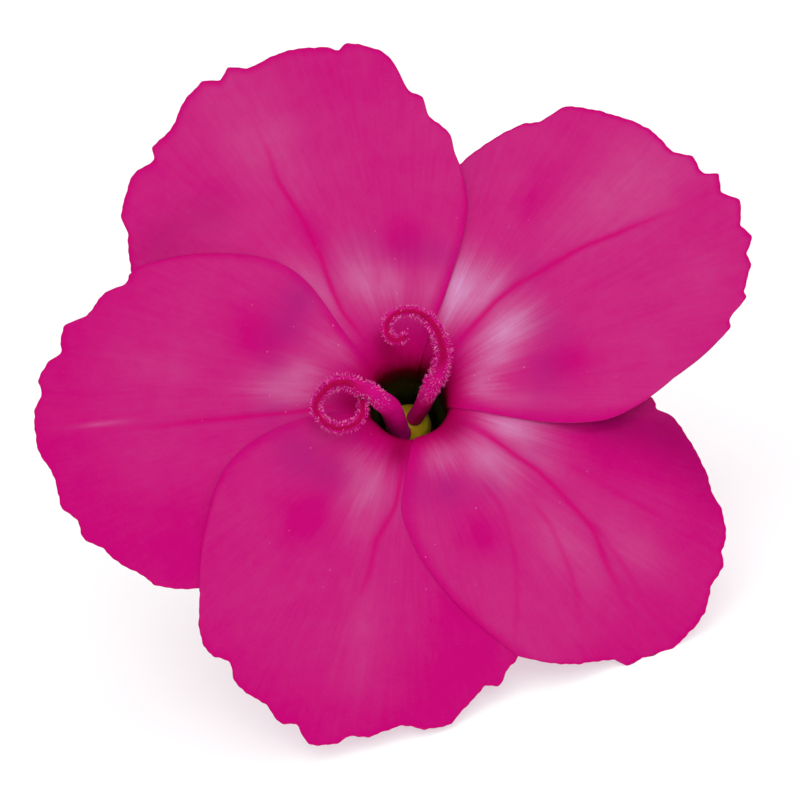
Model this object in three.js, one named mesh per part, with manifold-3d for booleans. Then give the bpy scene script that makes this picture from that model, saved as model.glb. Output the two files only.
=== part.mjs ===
// A single carnation flower, as picked. Five free petals with toothed rims overlap like a pinwheel
// round two curled styles, and a green cup with five pointed teeth holds their narrow claws.
// The flower lies on the rims of two petals and on the cut end of its stalk, and faces forward and up.
// Millimetres, +Z up. The origin is on the surface that it lies on, under the middle of its box.

import * as THREE from "three";
import { mergeVertices } from "three/addons/utils/BufferGeometryUtils.js";
import Module from "manifold-3d";

const wasm = await Module();
wasm.setup();

// Every piece is shaped in the flower's own frame: its axis is Z, the face looks along +Z, and the
// level 0 is just above the throat. The rest pose turns it about that axis, then leans it.
const REST_TURN = -19;
const REST_LEAN = 51;
const THROAT_PLACE = [-0.7, -3.45, 14.72];

// The line that each petal follows: a claw deep in the cup, a rounded shoulder, then the blade.
const THROAT_RADIUS = 2.3;
const CLAW_RADIUS = 1.95;
const CLAW_LENGTH = 12.9;
const CLAW_BEND = 4;
const SHOULDER_RADIUS = 2.4;
const SHOULDER_LENGTH = (SHOULDER_RADIUS * Math.PI) / 2;
const BLADE_LEVEL = -0.2;
const BLADE_DROP = 0.8;
const BLADE_REACH = 15;
const BLADE_CURVE = 1.5;
const THROAT_LEVEL = BLADE_LEVEL - SHOULDER_RADIUS;

// The claws stand side by side as a tube. In the throat each lifted side reaches over the next petal,
// and it draws back below. Further down the claws narrow to a share of their width. All in degrees
// round the flower's axis, and in mm below the throat.
const CLAW_CLEARANCE = 1.6;
const THROAT_OVERLAP = 5;
const OVERLAP_ENDS = 1.5;
const CLAW_NARROWS = { start: 4, end: 12, share: 0.5 };

// One side of each petal is lifted over its neighbour, so the petals overlap like a pinwheel. A groove
// runs along the vein and has its full depth from this far out.
const PETAL_THICKNESS = 0.62;
const LIFT_PER_DEGREE = 0.6 / 36;
const LIFT_FADES = 3.5;
const GROOVE = { depth: 0.22, width: 1.1, full: 8 };

// Places on a petal are pairs: degrees clockwise from its middle vein, and mm from the flower's axis.
const HIDDEN_SIDE = [
  [-40, 4],
  [-43, 8],
  [-43, 11],
];

// Each petal has the direction of its middle vein, its lifted side from the throat outwards, and its
// rim from the hidden side round to the lifted side, which turns at each tooth and each notch.
const PETALS = [
  {
    name: "petal_1",
    vein: 121,
    lifted: [[50, 4.5], [50, 8], [48, 11.4]],
    rim: [
      [-40, 15.4], [-35, 17.2], [-31, 18.2], [-27.5, 19], [-25.5, 19.9], [-19, 20.9], [-15, 20.6],
      [-13.5, 21.3], [-9.5, 21.4], [-5, 22.4], [-1, 22.9], [1.5, 22.4], [3.5, 22.9], [6, 22.3],
      [11.5, 22.6], [18, 22.1], [20, 21.7], [21.5, 22.1], [27, 21.3], [28.5, 20.5], [31, 18.7],
      [33.5, 18.2], [35, 17], [39.5, 16], [41.5, 14.8], [43, 14.2],
    ],
  },
  {
    name: "petal_2",
    vein: 40,
    lifted: [[52.5, 3.2], [52.5, 7], [49, 10.6], [43.5, 12.7]],
    rim: [
      [-43, 12.4], [-38, 14.3], [-34, 15.8], [-28.5, 17.8], [-25.5, 18.4], [-22, 20], [-16, 20.8],
      [-9.5, 21.6], [-4, 21.4], [-1.5, 22], [1.5, 21.8], [3, 22.5], [5.5, 22], [8, 22.6],
      [9.5, 22.3], [11.5, 21.8], [14, 22], [16, 21.2], [18, 21.1], [21.5, 20.2], [23, 20.1],
      [26, 18.7], [28, 18.5], [33, 16], [40, 13.6],
    ],
  },
  {
    name: "petal_3",
    vein: -35,
    lifted: [[52, 3], [59, 6], [53.5, 8.5], [45.5, 11.1], [37, 14.1]],
    rim: [
      [-41, 11.8], [-35, 13.6], [-32, 14], [-30.5, 14.9], [-21, 17], [-17, 17.7], [-14.5, 18.5],
      [-11, 19.2], [-8, 19.4], [-6, 19.8], [-2, 19.8], [2, 20.3], [6, 20.3], [9.5, 20.2],
      [11, 19.9], [12.5, 19.9], [14, 19.4], [16.5, 19.4], [18, 18.5], [24, 17.6], [27, 17.1],
      [33, 15.8],
    ],
  },
  {
    name: "petal_4",
    vein: -101,
    lifted: [[64, 4], [65, 7], [58.5, 10.5], [46, 13.4]],
    rim: [
      [-40, 13.8], [-33, 15.8], [-30, 16.3], [-28, 16.9], [-25, 16.8], [-20, 17.9], [-17.5, 18.5],
      [-13.5, 18.6], [-9.5, 18.4], [-4.5, 19.1], [-1.5, 19.2], [0.5, 19.7], [4.5, 20.1],
      [7.5, 19.3], [10, 19.5], [13.5, 18.9], [18, 18.8], [20, 18.5], [22, 17.9], [25, 18.1],
      [27.5, 18], [31, 17.2], [34, 16.2], [35.5, 15.9],
    ],
  },
  {
    name: "petal_5",
    vein: -173,
    lifted: [[47, 3.2], [55, 7], [54.5, 10.3], [43, 14.4]],
    rim: [
      [-42, 13.9], [-36, 15.9], [-34, 16.6], [-30, 17.6], [-27, 17.9], [-23.5, 18.6], [-20, 19],
      [-17.5, 19.7], [-14, 19.7], [-11, 20.3], [-6, 20.3], [-1, 21], [3, 21.1], [5.5, 21.1],
      [8, 20.7], [10, 21], [13, 20.5], [14.5, 19.9], [17, 20.1], [19.5, 20], [22, 18.9],
      [26, 18.6], [29.5, 17.5], [31.5, 17.5], [34, 17.2],
    ],
  },
];

// Rows of points across a petal: depth below the throat on the claw, then share of the way to the rim.
const CLAW_ROWS = [CLAW_LENGTH, 10, 7.4, 4.8, 2.8, 1.5, 0.7];
const CLAW_POINTS = 9;
const BLADE_ROWS = [0, 0.06, 0.13, 0.21, 0.31, 0.43, 0.56, 0.7, 0.86];
const THROAT_POINTS = 9;
const POINTS_ADDED_PER_ROW = 2;

// The two styles leave the top of the ovary and curl outside the throat. Points are the middle of each.
const STYLE_SIDES = 6;
const STYLE_STEPS = 36;
const STYLE_ROOT_RADIUS = 0.42;
const STYLE_TIP_RADIUS = 0.26;
const STYLE_SWELLING = { share: 0.33, bend: 0.75 };
const STYLES = [
  {
    name: "style_right",
    path: [
      [0.35, 0.1, -5.7], [0.78, 0.35, -4], [1.15, 0.64, -1.6], [1.68, 1.36, -0.1], [1.9, 2.15, 0.8],
      [1.7, 2.95, 1.4], [1.3, 3.6, 1.7], [0.8, 4.05, 1.8], [0.1, 4.3, 1.8], [-0.75, 4.15, 1.8],
      [-1.2, 3.6, 1.8], [-1.2, 3, 1.7], [-0.75, 2.65, 1.6], [-0.1, 2.9, 1.6],
    ],
  },
  {
    name: "style_left",
    path: [
      [-0.35, -0.6, -6], [-0.42, -0.9, -5.4], [-0.55, -0.68, -4.4], [-1, -0.3, -2],
      [-1.6, -0.3, -0.2], [-2.15, -0.15, 1], [-2.8, 0, 1.6], [-3.55, 0.2, 1.8], [-4.35, 0, 1.8],
      [-4.9, -0.6, 1.8], [-5.15, -1.2, 1.8], [-4.85, -1.85, 1.7], [-4.35, -2.25, 1.7],
      [-3.7, -2.4, 1.7], [-3, -2.1, 1.7], [-2.65, -1.55, 1.6], [-2.65, -0.95, 1.45],
    ],
  },
];

// The green cup: outer and inner radius at each height, and the gaps between its five teeth.
const CALYX_TIP = -3.6;
const CALYX_FLOOR = -17.9;
const CALYX_BASE = -18.5;
const CALYX_WALL = [
  [1.3, CALYX_BASE], [1.9, -18.3], [2.6, -17.4], [3, -16], [3.2, -13], [3.2, -8], [3.35, -6],
  [3.85, CALYX_TIP], [3.25, CALYX_TIP], [2.75, -6], [2.6, -8], [2.6, -13], [2.4, -16],
  [2, -17.3], [1.4, CALYX_FLOOR],
];
const CALYX_SIDES = 40;
const CALYX_TOOTH = { count: 5, root: -7.6, halfGap: 2.15, firstGap: 40 };
const TOOTH_CURVE = { across: 0.35, up: 0.4, segments: 4 };
const TOOTH_CUTTER = { above: 1, reach: 6 };

// Four scales hug the foot of the cup: an outer pair and a taller inner pair.
const BRACT = { thickness: 0.6, clearance: 0.3, foot: -18.1, span: 38, tipSpan: 3, points: 7 };
const BRACT_SHAPE = { widest: 0.3, footWidth: 0.75, taper: 0.8 };
const BRACT_ROWS = [0, 0.12, 0.3, 0.5, 0.7, 0.85, 1];
const BRACT_HEIGHTS = [7.2, 8.4, 7.2, 8.4];
const BRACT_FIRST = 45;

// Inside the cup: the ovary on its short foot, and ten spent stamens on a ring round it.
const OVARY_PROFILE = [
  [0, -17.6], [0.7, -17.6], [0.7, -16.3], [2.05, -16.3], [2.05, -15.8], [0.6, -15.8],
  [0.6, -14.8], [0.85, -13.6], [0.98, -10], [1, -7.3], [0.88, -6.5], [0.5, -6.1], [0, -6.05],
];
const OVARY_SIDES = 16;
const STAMENS = { count: 10, ring: 1.3, foot: -15.5, ringTop: -15.1, ringHalfWidth: 0.2 };
const FILAMENT = { radius: 0.2, top: -7.9, sides: 6 };
const ANTHER = { radius: 0.25, height: 0.8, sides: 6, rings: 4 };
const FIRST_STAMEN = 4;

const STALK = { radius: 1, top: -18.8, end: -22.5, sides: 16 };

// The pieces that touch the surface are cut flat there.
const SURFACE_BLOCK = { width: 80, depth: 6 };

const petalColour = new THREE.Color("#c7207a");
const styleColour = new THREE.Color("#c03a84");
const calyxColour = new THREE.Color("#7f9a52");
const bractColour = new THREE.Color("#8aa45c");
const stalkColour = new THREE.Color("#7c9650");
const ovaryColour = new THREE.Color("#a8a232");
const stamenColour = new THREE.Color("#4a4030");

// Returns 0 before start, 1 after end, and an even curve between them.
function ease(value, start, end) {
  return THREE.MathUtils.smoothstep(value, start, end);
}

// Where a petal's middle surface is at a length along its line, 0 in the throat and negative on the
// claw, and which way the upper face looks there: out from the axis and up.
function petalLine(length) {
  if (length < 0) {
    const narrowing = (THROAT_RADIUS - CLAW_RADIUS) * ease(-length, 0, CLAW_BEND);
    return { radius: THROAT_RADIUS - narrowing, level: THROAT_LEVEL + length, out: -1, up: 0 };
  }
  if (length < SHOULDER_LENGTH) {
    const turn = length / SHOULDER_RADIUS;
    const radius = THROAT_RADIUS + SHOULDER_RADIUS * (1 - Math.cos(turn));
    const level = THROAT_LEVEL + SHOULDER_RADIUS * Math.sin(turn);
    return { radius, level, out: -Math.cos(turn), up: Math.sin(turn) };
  }
  const beyond = length - SHOULDER_LENGTH;
  const level = BLADE_LEVEL - BLADE_DROP * Math.pow(beyond / BLADE_REACH, BLADE_CURVE);
  return { radius: THROAT_RADIUS + SHOULDER_RADIUS + beyond, level, out: 0, up: 1 };
}

// The length along a petal's line at which it is this far from the axis, on the shoulder or beyond.
function lengthAt(radius) {
  const beyond = radius - THROAT_RADIUS;
  if (beyond >= SHOULDER_RADIUS) return SHOULDER_LENGTH + beyond - SHOULDER_RADIUS;
  return SHOULDER_RADIUS * Math.acos(1 - beyond / SHOULDER_RADIUS);
}

// A point of a petal: degrees clockwise of its vein, length along its line, and height over its middle.
function petalPoint(vein, clockwise, length, height) {
  const line = petalLine(length);
  const across = THREE.MathUtils.degToRad(clockwise) * line.radius;
  const sink = GROOVE.depth * ease(length, 0, GROOVE.full);
  const groove = sink * Math.exp(-((across / GROOVE.width) ** 2));
  const lift = LIFT_PER_DEGREE * clockwise * ease(length, -LIFT_FADES, 0) - groove + height;
  const radius = line.radius + line.out * lift;
  const angle = THREE.MathUtils.degToRad(vein - clockwise);
  return new THREE.Vector3(
    radius * Math.cos(angle),
    radius * Math.sin(angle),
    line.level + line.up * lift,
  );
}

// How far a petal reaches on its hidden side and on its lifted side, at a depth below the throat: half
// of the way to the next vein, less a clearance, and further over the neighbour near the throat.
function clawSpan(petal, depth) {
  const order = PETALS.indexOf(petal);
  const before = PETALS.at(order - 1);
  const after = PETALS[(order + 1) % PETALS.length];
  const halfway = (from, to) => THREE.MathUtils.euclideanModulo(from - to, 360) / 2 - CLAW_CLEARANCE;
  const { start, end, share } = CLAW_NARROWS;
  const width = 1 - (1 - share) * ease(depth, start, end);
  const overlap = THROAT_OVERLAP * (1 - ease(depth, 0, OVERLAP_ENDS));
  return {
    hidden: -halfway(before.vein, petal.vein) * width,
    lifted: halfway(petal.vein, after.vein) * width + overlap,
  };
}

// Places on a petal's blade as a patch between four edges: the throat, two sides and the toothed rim.
function bladePatch(petal) {
  const place = ([clockwise, radius]) => new THREE.Vector2(clockwise, lengthAt(radius));
  const rim = petal.rim.map(place);
  const foot = clawSpan(petal, 0);
  const hiddenFoot = new THREE.Vector2(foot.hidden, 0);
  const liftedFoot = new THREE.Vector2(foot.lifted, 0);
  const hidden = new THREE.SplineCurve([hiddenFoot, ...HIDDEN_SIDE.map(place), rim[0]]);
  const lifted = new THREE.SplineCurve([liftedFoot, ...petal.lifted.map(place), rim.at(-1)]);
  const rimAt = (across) => {
    const step = Math.min(Math.floor(across * (rim.length - 1)), rim.length - 2);
    return rim[step].clone().lerp(rim[step + 1], across * (rim.length - 1) - step);
  };
  return (out, across) => {
    const ends = hiddenFoot.clone().lerp(liftedFoot, across).lerp(rimAt(across), out);
    const sides = hidden.getPoint(out).lerp(lifted.getPoint(out), across);
    const inner = hiddenFoot.clone().lerp(liftedFoot, across);
    const corners = inner.lerp(rim[0].clone().lerp(rim.at(-1), across), out);
    return ends.add(sides).sub(corners);
  };
}

// Shares from 0 to 1 in even steps.
function evenShares(count) {
  return Array.from({ length: count }, (_, step) => step / (count - 1));
}

// The triangles between two rows that may have unlike numbers of points; each row is a list of indices.
function stitch(near, far) {
  const triangles = [];
  let i = 0;
  let j = 0;
  while (i < near.length - 1 || j < far.length - 1) {
    const nearNext = (i + 1) / (near.length - 1);
    const farNext = (j + 1) / (far.length - 1);
    if (nearNext <= farNext) {
      triangles.push([near[i], near[i + 1], far[j]]);
      i += 1;
    } else {
      triangles.push([near[i], far[j + 1], far[j]]);
      j += 1;
    }
  }
  return triangles;
}

// A closed thin blade from rows of points, each a pair of an upper and a lower point. Both faces are
// split into the same triangles, and a wall runs round the edge.
function bladeGeometry(rows) {
  const upper = [];
  const rowIndices = rows.map((row) => row.map((pair) => upper.push(pair[0]) - 1));
  const lower = rows.flat().map((pair) => pair[1]);
  const below = upper.length;
  const face = rowIndices.slice(1).flatMap((far, row) => stitch(rowIndices[row], far));
  const edge = [
    ...rowIndices[0],
    ...rowIndices.slice(1).map((row) => row.at(-1)),
    ...rowIndices.at(-1).slice(0, -1).reverse(),
    ...rowIndices.slice(1, -1).map((row) => row[0]).reverse(),
  ];
  const index = [];
  for (const [a, b, c] of face) index.push(a, b, c, below + a, below + c, below + b);
  edge.forEach((a, step) => {
    const b = edge[(step + 1) % edge.length];
    index.push(below + a, below + b, b, below + a, b, a);
  });
  const geometry = new THREE.BufferGeometry().setFromPoints([...upper, ...lower]);
  geometry.setIndex(index);
  geometry.computeVertexNormals();
  return geometry;
}

// A petal from the foot of its claw to its toothed rim, as one blade.
function petalGeometry(petal) {
  const half = PETAL_THICKNESS / 2;
  const pairAt = (clockwise, length) => [
    petalPoint(petal.vein, clockwise, length, half),
    petalPoint(petal.vein, clockwise, length, -half),
  ];
  const claw = CLAW_ROWS.map((depth) => {
    const { hidden, lifted } = clawSpan(petal, depth);
    const across = (share) => THREE.MathUtils.lerp(hidden, lifted, share);
    return evenShares(CLAW_POINTS).map((share) => pairAt(across(share), -depth));
  });
  const patch = bladePatch(petal);
  const bladeRow = (out, count) => {
    const places = evenShares(count).map((share) => patch(out, share));
    return places.map((place) => pairAt(place.x, place.y));
  };
  const pointsIn = (row) => THROAT_POINTS + row * POINTS_ADDED_PER_ROW;
  const blade = BLADE_ROWS.map((out, row) => bladeRow(out, pointsIn(row)));
  const rim = bladeRow(1, petal.rim.length);
  return bladeGeometry([...claw, ...blade, rim]);
}

// A round rod that swells a little and then thins from its root to its tip, bent along a curve.
function taperedRod(curve, rootRadius, tipRadius, sides, steps) {
  const geometry = new THREE.CylinderGeometry(tipRadius, rootRadius, 1, sides, steps);
  const frames = curve.computeFrenetFrames(steps, false);
  const position = geometry.attributes.position;
  const point = new THREE.Vector3();
  for (let i = 0; i < position.count; i += 1) {
    const share = position.getY(i) + 0.5;
    const step = Math.round(share * steps);
    const swelling = 1 + STYLE_SWELLING.share * Math.sin(Math.PI * share ** STYLE_SWELLING.bend) ** 2;
    point.copy(curve.getPointAt(share));
    point.addScaledVector(frames.normals[step], position.getZ(i) * swelling);
    point.addScaledVector(frames.binormals[step], position.getX(i) * swelling);
    position.setXYZ(i, point.x, point.y, point.z);
  }
  geometry.computeVertexNormals();
  return geometry;
}

// A profile of radius and height pairs spun round the flower's axis.
function spun(profile, sides) {
  const points = profile.map(([radius, level]) => new THREE.Vector2(radius, level));
  return new THREE.LatheGeometry(points, sides).rotateX(Math.PI / 2);
}

// A three.js geometry as a solid for joining and cutting.
function solidOf(geometry) {
  const bare = geometry.clone();
  bare.deleteAttribute("normal");
  bare.deleteAttribute("uv");
  const merged = mergeVertices(bare, 1e-4);
  return new wasm.Manifold(
    new wasm.Mesh({
      numProp: 3,
      vertProperties: merged.attributes.position.array,
      triVerts: new Uint32Array(merged.index.array),
    }),
  );
}

// A solid back as a three.js geometry.
function geometryOf(solid) {
  const mesh = solid.getMesh();
  const geometry = new THREE.BufferGeometry();
  geometry.setAttribute("position", new THREE.BufferAttribute(mesh.vertProperties, 3));
  geometry.setIndex(new THREE.BufferAttribute(mesh.triVerts, 1));
  geometry.computeVertexNormals();
  return geometry;
}

// The outer radius of the cup at a height, between the points of its wall.
function calyxRadius(level) {
  const above = CALYX_WALL.findIndex(([, height]) => height > level);
  const [lowRadius, low] = CALYX_WALL[above - 1];
  const [highRadius, high] = CALYX_WALL[above];
  return THREE.MathUtils.mapLinear(level, low, high, lowRadius, highRadius);
}

// The cup: a spun wall with a floor, and gaps cut down from its mouth that leave pointed teeth.
function calyxGeometry() {
  const profile = [[0, CALYX_BASE], ...CALYX_WALL, [0, CALYX_FLOOR]];
  const { count, root, halfGap, firstGap } = CALYX_TOOTH;
  const top = CALYX_TIP + TOOTH_CUTTER.above;
  const bendAside = halfGap * TOOTH_CURVE.across;
  const bendLevel = THREE.MathUtils.lerp(root, CALYX_TIP, TOOTH_CURVE.up);
  const gap = new THREE.Shape();
  gap.moveTo(0, root);
  gap.quadraticCurveTo(bendAside, bendLevel, halfGap, CALYX_TIP);
  gap.lineTo(halfGap, top);
  gap.lineTo(-halfGap, top);
  gap.lineTo(-halfGap, CALYX_TIP);
  gap.quadraticCurveTo(-bendAside, bendLevel, 0, root);
  const cutter = new THREE.ExtrudeGeometry(gap, {
    depth: TOOTH_CUTTER.reach,
    bevelEnabled: false,
    curveSegments: TOOTH_CURVE.segments,
  });
  cutter.rotateX(Math.PI / 2);
  let cup = solidOf(spun(profile, CALYX_SIDES));
  for (let tooth = 0; tooth < count; tooth += 1) {
    const angle = THREE.MathUtils.degToRad(firstGap + (tooth * 360) / count);
    cup = cup.subtract(solidOf(cutter.clone().rotateZ(angle + Math.PI / 2)));
  }
  return geometryOf(cup);
}

// A scale that follows the cup's wall: widest a third of the way up, and drawn to a point.
function bractGeometry(direction, height) {
  const { thickness, clearance, foot, span, tipSpan, points } = BRACT;
  const { widest, footWidth, taper } = BRACT_SHAPE;
  const rows = BRACT_ROWS.map((share) => {
    const level = foot + share * height;
    const opening = THREE.MathUtils.lerp(footWidth, 1, share / widest);
    const width = share < widest ? opening : Math.pow((1 - share) / (1 - widest), taper);
    const halfSpan = Math.max(span * width, tipSpan);
    const inner = calyxRadius(level) + clearance;
    return evenShares(points).map((across) => {
      const angle = THREE.MathUtils.degToRad(direction + (2 * across - 1) * halfSpan);
      const at = (radius) =>
        new THREE.Vector3(radius * Math.cos(angle), radius * Math.sin(angle), level);
      return [at(inner + thickness), at(inner)];
    });
  });
  return bladeGeometry(rows);
}

// Ten spent stamens, grown together in a ring at their foot.
function stamensGeometry() {
  const { count, ring, foot, ringTop, ringHalfWidth } = STAMENS;
  const inner = ring - ringHalfWidth;
  const outer = ring + ringHalfWidth;
  const band = [[inner, foot], [outer, foot], [outer, ringTop], [inner, ringTop], [inner, foot]];
  let stamens = solidOf(spun(band, count * 2));
  const ringMiddle = (foot + ringTop) / 2;
  const length = FILAMENT.top - ringMiddle;
  for (let stamen = 0; stamen < count; stamen += 1) {
    const angle = THREE.MathUtils.degToRad(FIRST_STAMEN + (stamen * 360) / count);
    const rod = new THREE.CylinderGeometry(FILAMENT.radius, FILAMENT.radius, length, FILAMENT.sides);
    rod.rotateX(Math.PI / 2).translate(ring, 0, ringMiddle + length / 2).rotateZ(angle);
    const head = new THREE.SphereGeometry(ANTHER.radius, ANTHER.sides, ANTHER.rings);
    head.rotateX(Math.PI / 2);
    head.scale(1, 1, ANTHER.height / 2 / ANTHER.radius);
    head.translate(ring, 0, FILAMENT.top).rotateZ(angle);
    stamens = stamens.add(solidOf(rod)).add(solidOf(head));
  }
  return geometryOf(stamens);
}

// The short cut stub of the stalk under the cup.
function stalkGeometry() {
  const length = STALK.top - STALK.end;
  const stub = new THREE.CylinderGeometry(STALK.radius, STALK.radius, length, STALK.sides);
  return stub.rotateX(Math.PI / 2).translate(0, 0, (STALK.top + STALK.end) / 2);
}

// A named piece of one plain colour.
function mesh(name, geometry, color, roughness) {
  const made = new THREE.Mesh(
    geometry,
    new THREE.MeshStandardMaterial({ color, roughness, metalness: 0 }),
  );
  made.name = name;
  return made;
}

// Cuts a mesh flat where it would reach below the surface, in the surface's frame.
function cutAtSurface(piece) {
  const { width, depth } = SURFACE_BLOCK;
  const block = new THREE.BoxGeometry(width, width, depth).translate(0, 0, -depth / 2);
  block.applyMatrix4(piece.matrixWorld.clone().invert());
  piece.geometry = geometryOf(solidOf(piece.geometry).subtract(solidOf(block)));
}

const flower = new THREE.Group();
flower.rotation.z = THREE.MathUtils.degToRad(REST_TURN);
const lean = new THREE.Group();
lean.rotation.x = THREE.MathUtils.degToRad(REST_LEAN);
lean.position.set(...THROAT_PLACE);
lean.add(flower);
const part = new THREE.Group();
part.add(lean);

for (const petal of PETALS) {
  flower.add(mesh(petal.name, petalGeometry(petal), petalColour, 0.6));
}
for (const { name, path } of STYLES) {
  const curve = new THREE.CatmullRomCurve3(path.map((point) => new THREE.Vector3(...point)));
  const rod = taperedRod(curve, STYLE_ROOT_RADIUS, STYLE_TIP_RADIUS, STYLE_SIDES, STYLE_STEPS);
  flower.add(mesh(name, rod, styleColour, 0.6));
}
flower.add(mesh("calyx", calyxGeometry(), calyxColour, 0.6));
BRACT_HEIGHTS.forEach((height, bract) => {
  const direction = BRACT_FIRST + (bract * 360) / BRACT_HEIGHTS.length;
  flower.add(mesh(`bract_${bract + 1}`, bractGeometry(direction, height), bractColour, 0.65));
});
flower.add(mesh("ovary", spun(OVARY_PROFILE, OVARY_SIDES), ovaryColour, 0.5));
flower.add(mesh("stamens", stamensGeometry(), stamenColour, 0.7));
flower.add(mesh("stalk", stalkGeometry(), stalkColour, 0.6));

part.updateMatrixWorld(true);
for (const name of ["petal_3", "petal_4", "stalk"]) {
  cutAtSurface(part.getObjectByName(name));
}

export default part;
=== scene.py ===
"""A single magenta carnation flower, as picked, dressed for close views from all sides.

The five petals are thin closed sheets on the same lines as the solids that they replace, with the same
veins, sides and toothed rims. The curled styles carry rows of short hairs, and the cup is ribbed.
"""

import logging
from collections.abc import Callable
from dataclasses import dataclass
from enum import Enum

import bpy
import numpy as np
from mathutils import Matrix

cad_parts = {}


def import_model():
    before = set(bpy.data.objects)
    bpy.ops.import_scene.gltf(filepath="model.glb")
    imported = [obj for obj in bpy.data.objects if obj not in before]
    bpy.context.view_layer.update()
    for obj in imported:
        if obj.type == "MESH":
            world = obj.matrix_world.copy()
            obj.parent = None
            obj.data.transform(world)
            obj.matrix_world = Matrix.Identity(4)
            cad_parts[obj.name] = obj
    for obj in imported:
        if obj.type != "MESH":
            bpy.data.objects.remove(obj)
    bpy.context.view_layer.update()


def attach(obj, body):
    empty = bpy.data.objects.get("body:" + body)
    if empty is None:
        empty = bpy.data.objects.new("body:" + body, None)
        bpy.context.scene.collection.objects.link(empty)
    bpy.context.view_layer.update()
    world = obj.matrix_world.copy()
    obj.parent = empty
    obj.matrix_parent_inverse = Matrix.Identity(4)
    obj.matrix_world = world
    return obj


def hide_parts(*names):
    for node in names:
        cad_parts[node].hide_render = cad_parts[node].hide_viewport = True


Array = np.ndarray
Colour = tuple[float, float, float]
Point = tuple[float, float, float]
Span = tuple[float, float]
Pairs = tuple[Span, ...]
Waves = tuple[tuple[float, float, float], ...]
Noise = tuple[float, float, float]
Sides = dict[str, tuple[Array | float, Array | float]]

MM = 0.001
LOG = logging.getLogger("carnation")


class Slot(Enum):
    """The record's material slots."""

    PETAL = "petal"
    STYLE = "style"
    CUP = "cup"
    STALK = "stalk"
    OVARY = "ovary"
    STAMEN = "stamen"


def ease(value: Array, start: float, end: float) -> Array:
    """Even step: with s the share of the way from start to end, held in 0 to 1, it is s * s * (3 - 2s).

    Args:
        value: What is eased.
        start: Where the step begins.
        end: Where it ends.

    Returns:
        0 before start, 1 after end, and a smooth rise between them.
    """
    share = np.clip((value - start) / (end - start), 0.0, 1.0)
    return share * share * (3.0 - 2.0 * share)


def bump(value: Array, middle: Array | float, width: float) -> Array:
    """Bell curve: e to the power of minus ((value - middle) / width) squared."""
    return np.exp(-(((value - middle) / width) ** 2))


def band(value: Array, start: float, full: float, fading: float, end: float) -> Array:
    """Rises by an even step from start to full, and falls by an even step from fading to end."""
    return ease(value, start, full) * (1.0 - ease(value, fading, end))


def rounded(room: Array, width: float) -> Array:
    """A quarter circle: 0 where there is no room to an edge, 1 from the width on."""
    return np.sqrt(1.0 - (1.0 - np.clip(room / width, 0.0, 1.0)) ** 2)


def mix(first: Array | float, second: Array | float, share: Array | float) -> Array:
    """First times one less the share, plus second times the share."""
    return first * (1.0 - share) + second * share


def wrapped(degrees: Array, turn: float = 360.0) -> Array:
    """Degrees less whole turns, so that they are within half a turn of 0."""
    return (degrees + turn / 2.0) % turn - turn / 2.0


def waves(angle: Array, phase: float, parts: Waves) -> Array:
    """The sum of sines; a part is its strength, how fast it turns and how many phases it starts on."""
    return sum(strength * np.sin(angle * rate + start * phase) for strength, rate, start in parts)


def side_by_side(*values: Array | float) -> Array:
    """The values along a new last axis, each spread to their common shape."""
    return np.stack(np.broadcast_arrays(*values), -1)


def round_axis(radius: Array, angle: Array, level: Array) -> Array:
    """Points at a radius from the flower's axis, an angle round it in radians, and a height."""
    return side_by_side(radius * np.cos(angle), radius * np.sin(angle), level)


def curve_through(points: Array | tuple, shares: Array, roundness: float = 0.5) -> Array:
    """Cubic pieces through the points; each point's slope is roundness times its neighbours' difference.

    Args:
        points: One row for each point.
        shares: Places along the curve, 0 to 1, even in the count of points.
        roundness: 0.5 for a flowing curve, less for crisper turns at the points.

    Returns:
        One row for each share.
    """
    points = np.asarray(points, float)
    last = len(points) - 1
    place = np.clip(shares, 0.0, 1.0) * last
    step = np.minimum(place.astype(int), last - 1)
    part = (place - step)[..., None]
    start, end = points[step], points[step + 1]
    leave = (end - points[np.maximum(step - 1, 0)]) * roundness
    arrive = (points[np.minimum(step + 2, last)] - start) * roundness
    cubic = (2.0 * start - 2.0 * end + leave + arrive) * part**3
    square = (3.0 * end - 3.0 * start - 2.0 * leave - arrive) * part**2
    return cubic + square + leave * part + start


def unit(vectors: Array) -> Array:
    """Each vector divided by its length."""
    return vectors / np.linalg.norm(vectors, axis=-1, keepdims=True)


@dataclass(frozen=True)
class RestPose:
    """How the flower lies: turned about its own axis, leaned back, its throat set over the surface."""

    turn: float = -19.0
    lean: float = 51.0
    throat: Point = (-0.7, -3.45, 14.72)

    def rotation(self) -> Array:
        """The turn about Z, then the lean about X.

        Returns:
            A 3 by 3 matrix that turns the flower's own frame to the part's.
        """
        turn, lean = np.radians([self.turn, self.lean])
        cosine, sine = np.cos(turn), np.sin(turn)
        about_axis = np.array([[cosine, -sine, 0.0], [sine, cosine, 0.0], [0.0, 0.0, 1.0]])
        cosine, sine = np.cos(lean), np.sin(lean)
        return np.array([[1.0, 0.0, 0.0], [0.0, cosine, -sine], [0.0, sine, cosine]]) @ about_axis

    def place(self, points: Array) -> Array:
        """Points of the flower's own frame, in mm, as places in the shared frame, in metres."""
        return (points @ self.rotation().T + np.array(self.throat)) * MM


REST = RestPose()


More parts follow.
